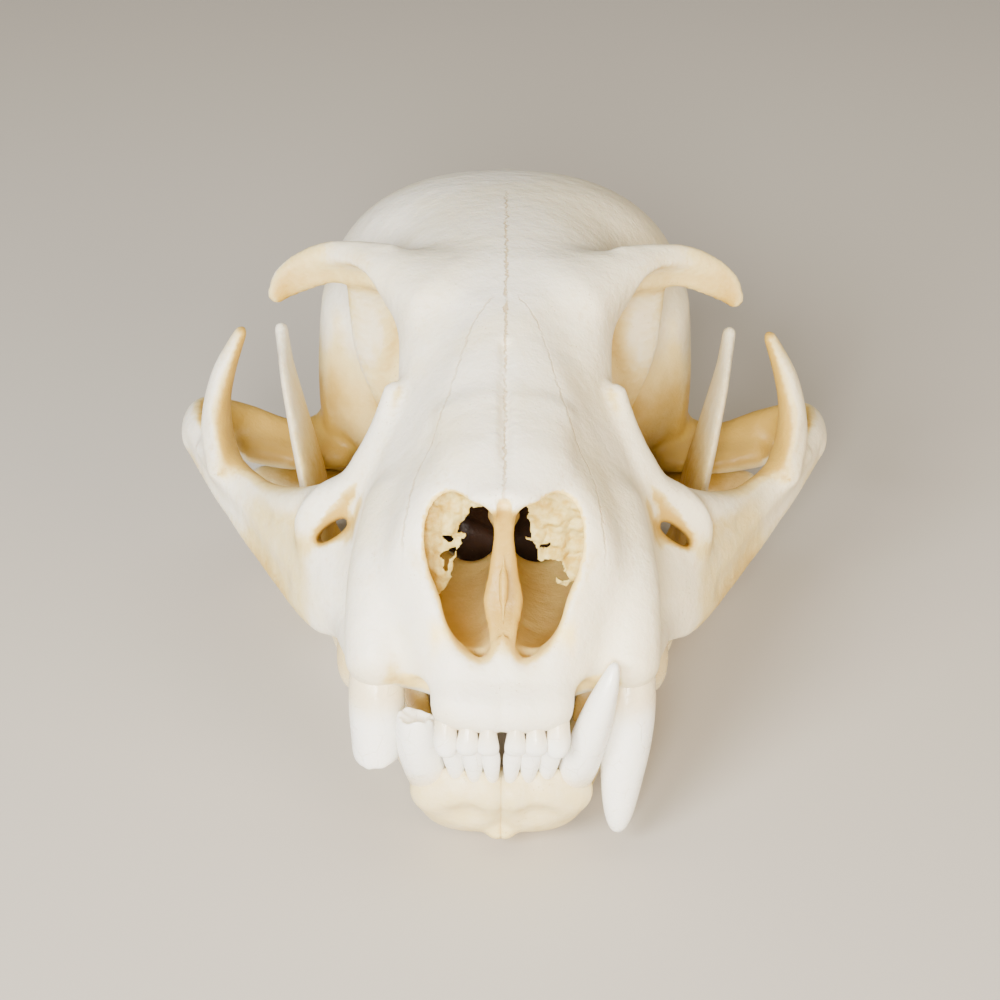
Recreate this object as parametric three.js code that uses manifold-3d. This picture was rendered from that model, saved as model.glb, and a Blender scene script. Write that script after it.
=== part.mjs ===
// Skull of a lynx with its lower jaw closed, life size, resting on the jaw.
// Millimetres, +Z up. The nose points to -Y, and +X is the animal's left side.
//
// The bones are blended implicit shapes, measured in a frame whose z = 0 is the plane of the palate and
// whose y = 0 is the front of the incisors. Each one is turned into triangles by marching cubes and
// thinned by edge collapse. The teeth are swept solids, joined to the bone or standing in their sockets.
import * as THREE from "three";
import { edgeTable, triTable } from "three/addons/objects/MarchingCubes.js";
import { mergeVertices } from "three/addons/utils/BufferGeometryUtils.js";
import Module from "manifold-3d";

const wasm = await Module();
wasm.setup();

// ---- driving dimensions ----
const palateTilt = 5.7; // degrees that the palate slopes up to the nose, at rest on the jaw
const footDepth = 0.3; // height ground off the chin and the corners of the jaw where they touch the floor
const socketGap = 0.3; // between a canine and its socket, and between the two halves of the jaw
const cranium = {
  length: 121, // front of the incisors to the back of the occiput
  crownHeight: 45, // palate to the top of the skull
  brainWidth: 53,
  archWidth: 90.4, // across the cheek arches
  browWidth: 62, // across the tips of the brow processes
  betweenEyes: 27.4, // across the narrowest place of the forehead
  snoutWidth: 37, // across the canine sockets
};
const jaw = { rearWidth: 70, coronoidTop: 25.3, condyleHeight: -1.5 };

// ---- implicit shapes: each has a box that bounds it and a signed distance, negative inside ----
const round = (a, b, k) => {
  const h = Math.max(k - Math.abs(a - b), 0) / k;
  return Math.min(a, b) - h * h * k * 0.25;
};

// An ellipsoid, turned about X by pitch degrees, about Z by yaw and about Y by roll.
function ball([cx, cy, cz], [rx, ry, rz], { pitch = 0, yaw = 0, roll = 0 } = {}) {
  const turn = new THREE.Matrix4()
    .makeRotationFromEuler(new THREE.Euler(rad(pitch), rad(roll), rad(yaw), "ZYX"))
    .invert().elements;
  const reach = Math.max(rx, ry, rz);
  return {
    box: boxAround([[cx, cy, cz]], reach),
    at(x, y, z) {
      const dx = x - cx;
      const dy = y - cy;
      const dz = z - cz;
      const u = (turn[0] * dx + turn[4] * dy + turn[8] * dz) / rx;
      const v = (turn[1] * dx + turn[5] * dy + turn[9] * dz) / ry;
      const w = (turn[2] * dx + turn[6] * dy + turn[10] * dz) / rz;
      const k = Math.hypot(u, v, w);
      const slope = Math.hypot(u / rx, v / ry, w / rz);
      return slope < 1e-9 ? -Math.min(rx, ry, rz) : (k * (k - 1)) / slope;
    },
  };
}

// A limb with an oval section that follows a curve. Each station is [x, y, z, half thickness, half height],
// and rise is the direction of the height.
function limb(stations, rise = [0, 0, 1], steps = 5) {
  const curve = new THREE.CatmullRomCurve3(stations.map(([x, y, z]) => new THREE.Vector3(x, y, z)));
  const count = (stations.length - 1) * steps;
  const up = new THREE.Vector3(...rise).normalize();
  const knots = [];
  for (let i = 0; i <= count; i++) {
    const t = i / count;
    const s = Math.min(Math.floor(i / steps), stations.length - 2);
    const f = i / steps - s;
    const thick = THREE.MathUtils.lerp(stations[s][3], stations[s + 1][3], f);
    const high = THREE.MathUtils.lerp(stations[s][4], stations[s + 1][4], f);
    knots.push({ p: curve.getPoint(t), thick, high });
  }
  const segments = knots.slice(1).map((b, i) => {
    const a = knots[i];
    const d = b.p.clone().sub(a.p);
    const side = d.clone().cross(up).normalize();
    const high = side.clone().cross(d).normalize();
    return { a, b, d, side, high, length2: d.lengthSq() };
  });
  const reach = Math.max(...stations.map((s) => Math.max(s[3], s[4])));
  return {
    box: boxAround(knots.map((k) => k.p.toArray()), reach),
    at(x, y, z) {
      let best = 1e9;
      for (const { a, b, d, side, high, length2 } of segments) {
        const px = x - a.p.x;
        const py = y - a.p.y;
        const pz = z - a.p.z;
        const t = Math.min(1, Math.max(0, (px * d.x + py * d.y + pz * d.z) / length2));
        const qx = px - t * d.x;
        const qy = py - t * d.y;
        const qz = pz - t * d.z;
        const ra = a.thick + (b.thick - a.thick) * t;
        const rb = a.high + (b.high - a.high) * t;
        const u = qx * side.x + qy * side.y + qz * side.z;
        const v = qx * high.x + qy * high.y + qz * high.z;
        const w2 = Math.max(0, qx * qx + qy * qy + qz * qz - u * u - v * v);
        const rc = Math.min(ra, rb);
        const k = Math.sqrt((u * u) / (ra * ra) + (v * v) / (rb * rb) + w2 / (rc * rc));
        const slope = Math.sqrt((u * u) / ra ** 4 + (v * v) / rb ** 4 + w2 / rc ** 4);
        const dist = slope < 1e-9 ? -rc : (k * (k - 1)) / slope;
        if (dist < best) best = dist;
      }
      return best;
    },
  };
}

// A trunk along Y. Each station is [y, bottom, top, half width, height of the widest line, power above it,
// power below it], and the section is a squarish oval. The front and back planes are [y at z = 0, lean].
function trunk(stations, front, rear, edge) {
  const pick = stations[0].map((_, c) => stations.map((s) => s[c]));
  const at = (y) => {
    const t = THREE.MathUtils.clamp(y, pick[0][0], pick[0].at(-1));
    const i = Math.max(1, pick[0].findIndex((v) => v >= t));
    const f = (t - pick[0][i - 1]) / (pick[0][i] - pick[0][i - 1]);
    return pick.slice(1).map((v) => {
      const before = v[Math.max(0, i - 2)];
      const after = v[Math.min(v.length - 1, i + 1)];
      const m0 = (v[i] - before) / 2;
      const m1 = (after - v[i - 1]) / 2;
      const bend = m0 * (f - 2 * f * f + f ** 3) + m1 * (f ** 3 - f * f);
      return v[i - 1] + (v[i] - v[i - 1]) * f * f * (3 - 2 * f) + bend;
    });
  };
  const reach = Math.max(...pick[3]);
  const seen = new Map();
  return {
    box: {
      min: [-reach, front[0] - 4, Math.min(...pick[1])],
      max: [reach, rear[0] + 4, Math.max(...pick[2])],
    },
    at(x, y, z) {
      if (!seen.has(y)) seen.set(y, at(y));
      const [bottom, top, half, wide, powerUp, powerDown] = seen.get(y);
      const high = z > wide ? top - wide : wide - bottom;
      const n = z > wide ? powerUp : powerDown;
      const u = Math.abs(x) / half;
      const v = Math.abs(z - wide) / high;
      const k = Math.pow(u ** n + v ** n, 1 / n);
      const gu = u ** (n - 1) / half;
      const gv = v ** (n - 1) / high;
      const around = k < 1e-6 ? -Math.min(half, high) : ((k - 1) * k ** (n - 1)) / Math.hypot(gu, gv);
      const ahead = (front[0] + front[1] * z - y) / Math.hypot(1, front[1]);
      const behind = (y - rear[0] - rear[1] * z) / Math.hypot(1, rear[1]);
      return -round(-around, round(-ahead, -behind, edge), edge);
    },
  };
}

function boxAround(points, reach) {
  const box = { min: [1e9, 1e9, 1e9], max: [-1e9, -1e9, -1e9] };
  for (const p of points) {
    for (let i = 0; i < 3; i++) {
      box.min[i] = Math.min(box.min[i], p[i] - reach);
      box.max[i] = Math.max(box.max[i], p[i] + reach);
    }
  }
  return box;
}

function toBox({ min, max }, x, y, z) {
  const dx = Math.max(min[0] - x, x - max[0], 0);
  const dy = Math.max(min[1] - y, y - max[1], 0);
  const dz = Math.max(min[2] - z, z - max[2], 0);
  return Math.sqrt(dx * dx + dy * dy + dz * dz);
}

// A form is a list of steps, taken in order. Each one joins a shape to the form or cuts it away, and fillets
// the edge over about blend millimetres. The form is the same on both sides of x = 0.
const join = (blend, ...shapes) => shapes.map((shape) => ({ shape, blend, keep: true }));
const cut = (blend, ...shapes) => shapes.map((shape) => ({ shape, blend, keep: false }));

function form(...groups) {
  const steps = groups.flat();
  const kept = steps.filter((s) => s.keep).map((s) => s.shape.box);
  const max = [0, 1, 2].map((i) => Math.max(...kept.map((box) => box.max[i])));
  const min = [0, 1, 2].map((i) => Math.min(...kept.map((box) => box.min[i])));
  min[0] = -max[0];
  return {
    box: { min, max },
    at(side, y, z) {
      const x = Math.abs(side);
      let d = 40;
      for (const { shape, blend, keep } of steps) {
        if (keep && toBox(shape.box, x, y, z) < d + blend) d = round(d, shape.at(x, y, z), blend);
        if (!keep && toBox(shape.box, x, y, z) < blend - d) d = -round(-d, shape.at(x, y, z), blend);
      }
      return d;
    },
  };
}

function rad(degrees) {
  return THREE.MathUtils.degToRad(degrees);
}

// ---- triangles from a form ----
const corners = [
  [0, 0, 0], [1, 0, 0], [1, 1, 0], [0, 1, 0], [0, 0, 1], [1, 0, 1], [1, 1, 1], [0, 1, 1],
];
const cubeEdges = [
  [0, 1], [1, 2], [3, 2], [0, 3], [4, 5], [5, 6], [7, 6], [4, 7], [0, 4], [1, 5], [2, 6], [3, 7],
];

// Marching cubes over the form's box, with a vertex shared by all the triangles that meet on it.
function triangulate({ box, at }, cell) {
  const low = box.min.map((v) => v - 1.5 * cell);
  const size = box.max.map((v, i) => Math.ceil((v - low[i]) / cell) + 3);
  const step = [1, size[0], size[0] * size[1]];
  const values = new Float32Array(size[0] * size[1] * size[2]);
  const block = 5;
  const near = block * cell * 1.6;
  const value = (i, j, k) => at(low[0] + i * cell, low[1] + j * cell, low[2] + k * cell) || 1e-6;
  for (let bk = 0; bk < size[2]; bk += block) {
    for (let bj = 0; bj < size[1]; bj += block) {
      for (let bi = 0; bi < size[0]; bi += block) {
        const middle = value(bi + (block - 1) / 2, bj + (block - 1) / 2, bk + (block - 1) / 2);
        const far = Math.abs(middle) > near;
        for (let k = bk; k < Math.min(bk + block, size[2]); k++) {
          for (let j = bj; j < Math.min(bj + block, size[1]); j++) {
            for (let i = bi; i < Math.min(bi + block, size[0]); i++) {
              values[i + j * step[1] + k * step[2]] = far ? middle : value(i, j, k);
            }
          }
        }
      }
    }
  }
  const points = [];
  const triangles = [];
  const known = new Map();
  const pointOn = (n, ijk, [a, b]) => {
    const from = corners[a];
    const axis = corners[b].findIndex((v, i) => v !== from[i]);
    const na = n + from[0] * step[0] + from[1] * step[1] + from[2] * step[2];
    const key = na * 3 + axis;
    if (!known.has(key)) {
      const va = values[na];
      const t = THREE.MathUtils.clamp(va / (va - values[na + step[axis]]), 0.06, 0.94);
      known.set(key, points.length);
      points.push(from.map((f, i) => low[i] + (ijk[i] + f + (i === axis ? t : 0)) * cell));
    }
    return known.get(key);
  };
  for (let k = 0; k < size[2] - 1; k++) {
    for (let j = 0; j < size[1] - 1; j++) {
      for (let i = 0; i < size[0] - 1; i++) {
        const n = i + j * step[1] + k * step[2];
        let inside = 0;
        corners.forEach((c, bit) => {
          if (values[n + c[0] + c[1] * step[1] + c[2] * step[2]] < 0) inside |= 1 << bit;
        });
        if (!edgeTable[inside]) continue;
        for (let t = inside * 16; triTable[t] !== -1; t += 3) {
          const tri = [0, 2, 1].map((c) => pointOn(n, [i, j, k], cubeEdges[triTable[t + c]]));
          triangles.push(tri);
        }
      }
    }
  }
  return { points, triangles };
}

// Edge collapse by the quadric error of the planes around each vertex, down to a count of triangles.
function thin({ points, triangles }, target) {
  const around = points.map(() => new Set());
  const quadric = points.map(() => new Float64Array(10));
  const normalOf = ([a, b, c], moved = -1, to = null) => {
    const p = a === moved ? to : points[a];
    const q = b === moved ? to : points[b];
    const r = c === moved ? to : points[c];
    const u = [q[0] - p[0], q[1] - p[1], q[2] - p[2]];
    const v = [r[0] - p[0], r[1] - p[1], r[2] - p[2]];
    return [u[1] * v[2] - u[2] * v[1], u[2] * v[0] - u[0] * v[2], u[0] * v[1] - u[1] * v[0]];
  };
  triangles.forEach((tri, t) => {
    const n = normalOf(tri);
    const area = Math.hypot(...n) || 1e-12;
    const [a, b, c] = n.map((v) => v / area);
    const p = points[tri[0]];
    const d = -(a * p[0] + b * p[1] + c * p[2]);
    const plane = [a * a, a * b, a * c, a * d, b * b, b * c, b * d, c * c, c * d, d * d];
    for (const v of tri) {
      around[v].add(t);
      plane.forEach((x, i) => (quadric[v][i] += x * area));
    }
  });
  const errorAt = (q, [x, y, z]) =>
    q[0] * x * x + 2 * q[1] * x * y + 2 * q[2] * x * z + 2 * q[3] * x + q[4] * y * y +
    2 * q[5] * y * z + 2 * q[6] * y + q[7] * z * z + 2 * q[8] * z + q[9];
  const bestPoint = (q, a, b) => {
    const m = new THREE.Matrix3().set(q[0], q[1], q[2], q[1], q[4], q[5], q[2], q[5], q[7]);
    const middle = points[a].map((v, i) => (v + points[b][i]) / 2);
    const choices = [middle, points[a], points[b]];
    if (Math.abs(m.determinant()) > 1e-4) {
      const v = new THREE.Vector3(-q[3], -q[6], -q[8]).applyMatrix3(m.invert()).toArray();
      const edge = Math.hypot(...points[a].map((w, i) => w - points[b][i]));
      if (Math.hypot(...v.map((w, i) => w - middle[i])) < edge) choices.unshift(v);
    }
    return choices.reduce((best, p) => (errorAt(q, p) < errorAt(q, best) ? p : best));
  };
  const heap = [];
  const version = new Int32Array(points.length);
  const push = (item) => {
    let i = heap.push(item) - 1;
    while (i > 0 && heap[(i - 1) >> 1].cost > item.cost) {
      heap[i] = heap[(i - 1) >> 1];
      i = (i - 1) >> 1;
    }
    heap[i] = item;
  };
  const pop = () => {
    const top = heap[0];
    const last = heap.pop();
    let i = 0;
    while (heap.length && 2 * i + 1 < heap.length) {
      let c = 2 * i + 1;
      if (c + 1 < heap.length && heap[c + 1].cost < heap[c].cost) c++;
      if (heap[c].cost >= last.cost) break;
      heap[i] = heap[c];
      i = c;
    }
    if (heap.length) heap[i] = last;
    return top;
  };
  const offer = (a, b) => {
    const q = quadric[a].map((v, i) => v + quadric[b][i]);
    const p = bestPoint(q, a, b);
    const length = Math.hypot(...points[a].map((v, i) => v - points[b][i]));
    push({ cost: Math.max(0, errorAt(q, p)) + 1e-5 * length ** 3, a, b, p, stamp: version[a] + version[b] });
  };
  const neighbours = (v) => new Set([...around[v]].flatMap((t) => triangles[t]).filter((w) => w !== v));
  points.forEach((_, v) => neighbours(v).forEach((w) => v < w && offer(v, w)));
  let left = triangles.length;
  while (left > target && heap.length) {
    const { a, b, p, stamp } = pop();
    if (!around[a].size || !around[b].size || version[a] + version[b] !== stamp) continue;
    const shared = [...around[a]].filter((t) => around[b].has(t));
    const ring = neighbours(b);
    if (shared.length !== 2 || [...neighbours(a)].filter((v) => ring.has(v)).length !== 2) continue;
    const flips = [a, b].some((v) =>
      [...around[v]].some((t) => {
        if (shared.includes(t)) return false;
        const before = normalOf(triangles[t]);
        const after = normalOf(triangles[t], v, p);
        const dot = before[0] * after[0] + before[1] * after[1] + before[2] * after[2];
        return dot < 0.3 * Math.hypot(...before) * Math.hypot(...after) || Math.hypot(...after) < 0.02;
      }),
    );
    if (flips) continue;
    for (const t of shared) {
      triangles[t].forEach((v) => around[v].delete(t));
      triangles[t] = null;
    }
    for (const t of around[b]) {
      triangles[t] = triangles[t].map((v) => (v === b ? a : v));
      around[a].add(t);
    }
    around[b].clear();
    left -= 2;
    points[a] = p;
    quadric[a] = quadric[a].map((v, i) => v + quadric[b][i]);
    version[a] += 1;
    neighbours(a).forEach((w) => offer(a, w));
  }
  return { points, triangles: triangles.filter(Boolean) };
}

function solidFrom({ points, triangles }) {
  const geometry = new THREE.BufferGeometry();
  geometry.setAttribute("position", new THREE.Float32BufferAttribute(points.flat(), 3));
  geometry.setIndex(triangles.flat());
  return solidOf(geometry);
}

function solidOf(geometry) {
  const bare = geometry.clone();
  bare.deleteAttribute("normal");
  bare.deleteAttribute("uv");
  const merged = mergeVertices(bare, 1e-4);
  return new wasm.Manifold(
    new wasm.Mesh({
      numProp: 3,
      vertProperties: new Float32Array(merged.attributes.position.array),
      triVerts: new Uint32Array(merged.index.array),
    }),
  );
}

// ---- swept teeth ----
// Rings of points around a curve. Each station is [x, y, z, half width, half depth]; the width runs along
// X. The ends close on a point, so a tooth can end in a tip, a round cusp or a broken face.
function sweptTooth(stations, { rings = 10, sides = 12, swell = 0 } = {}) {
  const centre = new THREE.CatmullRomCurve3(stations.map(([x, y, z]) => new THREE.Vector3(x, y, z)));
  const sizes = new THREE.CatmullRomCurve3(stations.map((s) => new THREE.Vector3(s[3], s[4], 0)));
  const points = [];
  const index = [];
  for (let i = 0; i < rings; i++) {
    const t = i / (rings - 1);
    const c = centre.getPoint(t);
    const size = sizes.getPoint(t);
    const tangent = centre.getTangent(t);
    const depth = new THREE.Vector3().crossVectors(tangent, new THREE.Vector3(1, 0, 0)).normalize();
    const width = new THREE.Vector3().crossVectors(depth, tangent).normalize();
    for (let k = 0; k < sides; k++) {
      const a = (2 * Math.PI * k) / sides;
      const p = c.clone()
        .addScaledVector(width, Math.cos(a) * (size.x + swell))
        .addScaledVector(depth, Math.sin(a) * (size.y + swell));
      points.push(p.toArray());
    }
  }
  const ends = [0, 1].map((t) => {
    const p = centre.getPoint(t).addScaledVector(centre.getTangent(t), (0.3 + swell) * (2 * t - 1));
    return points.push(p.toArray()) - 1;
  });
  for (let i = 0; i < rings - 1; i++) {
    for (let k = 0; k < sides; k++) {
      const a = i * sides + k;
      const b = i * sides + ((k + 1) % sides);
      index.push([a, b, b + sides], [a, b + sides, a + sides]);
    }
  }
  for (let k = 0; k < sides; k++) {
    const next = (k + 1) % sides;
    index.push([ends[0], next, k]);
    index.push([ends[1], (rings - 1) * sides + k, (rings - 1) * sides + next]);
  }
  let solid = solidFrom({ points, triangles: index });
  if (solid.volume() < 0) {
    solid = solidFrom({ points, triangles: index.map(([a, b, c]) => [a, c, b]) });
  }
  return solid;
}

// ---- the cranium ----
const brainHalf = cranium.brainWidth / 2;
const archHalf = cranium.archWidth / 2;
const browHalf = cranium.browWidth / 2;
const eyeHalf = cranium.betweenEyes / 2;
const snoutHalf = cranium.snoutWidth / 2;
const crown = cranium.crownHeight;
const back = cranium.length;
const hinge = jaw.rearWidth / 2;

const condyle = (swell) => limb([
  [hinge - 13.5 - swell, 79.5, jaw.condyleHeight - 0.6, 2.3 + swell, 2.2 + swell],
  [hinge - 7, 79.8, jaw.condyleHeight, 2.6 + swell, 2.6 + swell],
  [hinge + swell, 80.4, jaw.condyleHeight + 0.4, 2.2 + swell, 2.1 + swell],
]);

const vault = trunk([
  [20, 20, 29, 7, 24, 2, 2],
  [28, 23, 33.4, 9.5, 27, 2, 2],
  [36, 23, 37.4, 11, 29, 2.1, 2],
  [42, 20, 40, eyeHalf - 0.3, 30, 2.2, 2],
  [50, 15, crown - 2.4, eyeHalf + 1.3, 30, 2.2, 2],
  [60, 10, crown - 1, eyeHalf + 2.9, 29, 2.2, 2],
  [70, 7, crown - 0.4, 18.2, 27, 2.4, 2],
  [80, 5, crown - 0.6, 24.4, 22, 2.5, 2.4],
  [90, 3.5, crown - 1.9, brainHalf, 19, 2.4, 2.5],
  [100, 3, crown - 5.2, brainHalf - 0.5, 18, 2.2, 2.5],
  [110, 3, crown - 11, 23.5, 17, 2.1, 2.5],
  [118, 4, crown - 16.5, 18, 16, 2, 2.4],
  [124, 6, crown - 20, 13, 15, 2, 2.2],
], [18, 0], [back - 3, 0.03], 7);
const base = limb([
  [0, 44, 9, 6, 5], [0, 54, 9, 7, 7], [0, 72, 10, 9, 7], [0, 90, 7, 9, 5], [0, 113, 5, 8, 4],
]);
const muzzle = trunk([
  [2, -0.8, 14, 7, 2, 2.4, 2.4],
  [6, -0.8, 20, 8.4, 3, 2.2, 2.4],
  [9, -1, 24, 11, 5, 2.4, 2.6],
  [13, -1.2, 27.2, 14.6, 6, 2.4, 3],
  [18, -0.9, 29.6, snoutHalf - 1.9, 6, 2.1, 3.4],
  [24, -0.6, 31.4, snoutHalf - 0.1, 7, 1.8, 3.6],
  [30, -0.4, 33.4, snoutHalf + 0.9, 8, 1.75, 3.6],
  [37, -0.2, 35.4, snoutHalf + 0.6, 9, 1.9, 3.4],
  [44, 0, 36, snoutHalf - 1, 10, 2.2, 3],
  [52, 0.6, 35, 15, 12, 2.2, 2.4],
], [3, 0.425], [50, -0.1], 3);
const nasalBones = limb([[0, 12.6, 24.6, 5.2, 2.2], [0, 18, 27, 7.4, 2.6], [0, 26, 30, 8, 2.6]]);
// The swelling that houses the root of the upper canine.
const canineRoot = limb([
  [15, 12.4, 4.6, 3.9, 4.1], [15.1, 14.6, 8, 3.9, 4.2], [15.2, 18.6, 12.6, 3.5, 4],
  [13.8, 25, 18.4, 3, 3.4],
], [0, 1, 0]);
const incisorBar = limb([[1.6, 4.9, 1.4, 2.4, 2.4], [5.9, 5.7, 1.4, 2.5, 2.5]], [0, 1, 0]);
const eyeSocket = ball([27.6, 53, 25.6], [16.8, 20.4, 14.6], { pitch: 4 });
const eyeRim = limb([
  [14, 37.6, 28.8, 1.2, 1.4], [15.2, 36, 24.6, 1.7, 1.8], [17, 34.8, 20.4, 2.2, 2.2],
  [19.6, 35.6, 17.2, 3, 2], [23, 38.6, 14.7, 3.2, 1.9], [27, 43.6, 12.2, 3, 2],
  [31.4, 49.6, 10.8, 2.6, 2.4], [36.4, 56, 11.4, 2, 3.6],
]);
// The sickle of bone behind the eye socket, rising from the cheek.
const cheekBone = limb([
  [38.2, 57.4, 11, 2.2, 4.8], [39, 59.8, 15, 2.1, 4], [38.9, 61, 18.8, 1.8, 3.2],
  [37.9, 61.2, 22.8, 1.55, 2.5], [36.5, 60.8, 26.2, 1.15, 1.9], [35.4, 60.2, 28.6, 0.85, 1.3],
], [0, 1, 0]);
const arch = limb([
  [17, 28.5, 5, 3.2, 5.6], [22.2, 32.6, 4.6, 2.4, 6.8], [26.4, 38.6, 5.4, 2, 6.3],
  [31.4, 46.8, 6.4, 1.9, 5.2], [36, 55, 8.6, 1.9, 4.9], [40.2, 62, 10.8, 1.8, 4.5],
  [archHalf - 2, 69, 12, 1.8, 3.8], [archHalf - 2.4, 75.5, 11.4, 2, 3.1], [38.4, 80.8, 8.2, 2.4, 2.5],
  [31, 83.2, 4.4, 3, 2.7], [24, 86, 4.2, 3.4, 3.4],
], [-0.25, 0, 1]);
const jawRoof = limb([[24, 81, 3, 3.2, 2.2], [31, 80.5, 3.4, 4.4, 2.2], [36.5, 80, 4.6, 3.8, 2.4]]);
const jawStop = limb([[24.5, 84.8, -1.8, 1.3, 2.6], [31, 84.8, -0.8, 1.2, 2.6]]);
const brow = limb([
  [8, 49, 37.8, 6, 3.5], [14, 54, 38.8, 4.2, 3.3], [19.4, 57.6, 38.8, 2.6, 3],
  [23.4, 59.6, 38.4, 1.5, 2.7], [26.8, 60.6, 37, 1.1, 2.5], [29.2, 60.8, 35.3, 0.9, 2.1],
  [browHalf - 0.5, 60.6, 33.5, 0.8, 1],
]);
// A sharp upper lip along the brow and a hollow under it.
const browEdge = limb([
  [15, 55.6, 41.4, 1.2, 1], [20, 58.6, 41, 0.9, 0.8], [23.8, 60, 40.4, 0.8, 0.8],
  [27.2, 60.9, 38.7, 0.7, 0.7], [29.6, 60.9, 36.8, 0.6, 0.6], [browHalf, 60.6, 34.2, 0.5, 0.5],
]);
const browHollow = ball([22.5, 55.4, 36.8], [8.2, 3.6, 2.9], { yaw: 16 });
// The wall between the eye socket and the brain case.
const eyeCrest = limb([
  [17.6, 61, 35, 3.2, 2], [16.6, 62.4, 30, 3.2, 2.4], [15.2, 63.4, 25, 3, 2.6], [13, 62.6, 20, 2.6, 2.4],
], [0, 1, 0]);
const earCapsule = ball([15.5, 96.5, 3.4], [8.4, 13, 9], { yaw: -14 });
const neckCrest = limb([
  [0, back - 3, 27, 1.6, 2], [10, back - 4, 25, 1.6, 2], [19, back - 9, 17.5, 1.8, 2],
  [23.6, back - 16, 8, 2.4, 3],
]);
const topCrest = limb([[0, 104, 37.4, 1.2, 1.4], [0, 111, 33, 1.4, 2], [0, back - 3.5, 27, 1.6, 2.4]]);
const neckJoint = ball([7.6, back - 4, 5], [4.2, 4.4, 5], { yaw: 20 });
const mastoid = limb([[20.5, 106, 4, 3.2, 3], [20.8, 108, -2, 1.8, 2]]);
const earRim = ball([24, 101, 5], [3, 4, 5.2]);
const throatWing = limb([
  [8.8, 45, 3.6, 1.6, 3], [7.8, 52, 4, 1.2, 5], [7.4, 62, 3, 1, 5.6], [7.6, 67, -2, 0.9, 2.4],
]);

// ---- hollows of the nose: open front, narrow upper passage, low airway, plate between the sides ----
const nostril = limb([
  [4.7, 3, 18.6, 4.1, 6.2], [4.8, 12, 18.6, 4.2, 6.4], [5.7, 17, 18.4, 4.9, 6.8],
  [6.6, 32, 18, 5.8, 8.2], [5.2, 44, 15, 4.4, 6.4],
]);
const innerNose = limb([
  [2.4, 2, 15.4, 1.6, 8.6], [2.5, 12, 15.4, 1.7, 9], [3, 24, 14, 2.2, 10], [3.6, 36, 12.6, 2.8, 8.6],
]);
const airway = limb([
  [4, 1, 12, 3.5, 5], [4.1, 8, 12, 3.6, 5.3], [4.4, 12, 11.4, 3.8, 5.8], [6.4, 19, 9.2, 5.6, 6.4],
  [6.4, 30, 8.2, 5.8, 6], [4.6, 42, 6, 4, 4], [3.6, 52, 2.6, 3.4, 3.6], [3.6, 64, -1, 3.4, 4.6],
  [3.6, 76, -4.6, 3.4, 5],
]);
const septum = limb([
  [0, 12.4, 25.6, 1.3, 1.3], [0, 13.6, 19.6, 1.2, 1.3], [0, 13.2, 15.2, 1.8, 1.3],
  [0, 12, 12.2, 2.5, 1.4], [0, 9.8, 9.6, 1.8, 1.4], [0, 7.6, 7.2, 1.2, 1.2],
], [0, 1, 0]);
// The hole for the nerve and vessels of the lip, in front of the eye socket.
const cheekHole = limb([
  [24.6, 22.5, 14.4, 1.9, 2.3], [21.8, 30, 12.4, 1.5, 2], [20.2, 39, 8.8, 1.5, 2.1],
  [19.6, 48, 5.4, 1.8, 2.4],
], [-0.3, 0, 1]);
// Shallow dishing of the snout, the cheek and the gap behind the canine.
const snoutHollow = limb([
  [8.6, 38, 40.4, 3, 3], [13, 32, 35, 3.4, 3.4], [17.8, 27, 28.6, 3.6, 3.6], [22.4, 22.6, 23, 3, 3],
]);
const cheekTrough = limb([
  [45.4, 66, 9.4, 1.4, 1.4], [42.4, 58.4, 7.6, 1.8, 1.8], [38.2, 51, 5.6, 2, 2], [33.8, 44, 3.8, 2, 2],
  [30, 36.6, 2.4, 1.8, 1.8],
]);
const canineGap = ball([9.9, 8, -1.2], [2.3, 3.4, 4.8]);
const spineHole = ball([0, back + 1, 10.5], [6.6, 12, 6]);
const earHole = ball([27, 93.5, 6], [6, 2.4, 2.4]);
const palateVault = ball([0, 28, -8], [13, 22, 7.4]);

const craniumForm = form(
  join(6, vault),
  join(4, base),
  join(3, muzzle, canineRoot),
  join(2, nasalBones, incisorBar),
  cut(2, eyeSocket),
  join(4, brow),
  join(1, browEdge),
  join(2.5, eyeRim, cheekBone),
  join(4, eyeCrest),
  join(3, arch),
  join(2, jawRoof, jawStop),
  join(2.5, earCapsule, mastoid, earRim),
  join(3, neckCrest, topCrest),
  join(2, neckJoint, throatWing),
  cut(1, browHollow),
  cut(4, snoutHollow),
  cut(2, cheekTrough),
  cut(1.4, canineGap),
  cut(1, nostril, airway, innerNose, cheekHole, spineHole, earHole),
  join(0.6, septum),
  cut(1.5, palateVault),
  cut(0.6, condyle(0.6)),
);

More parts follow.
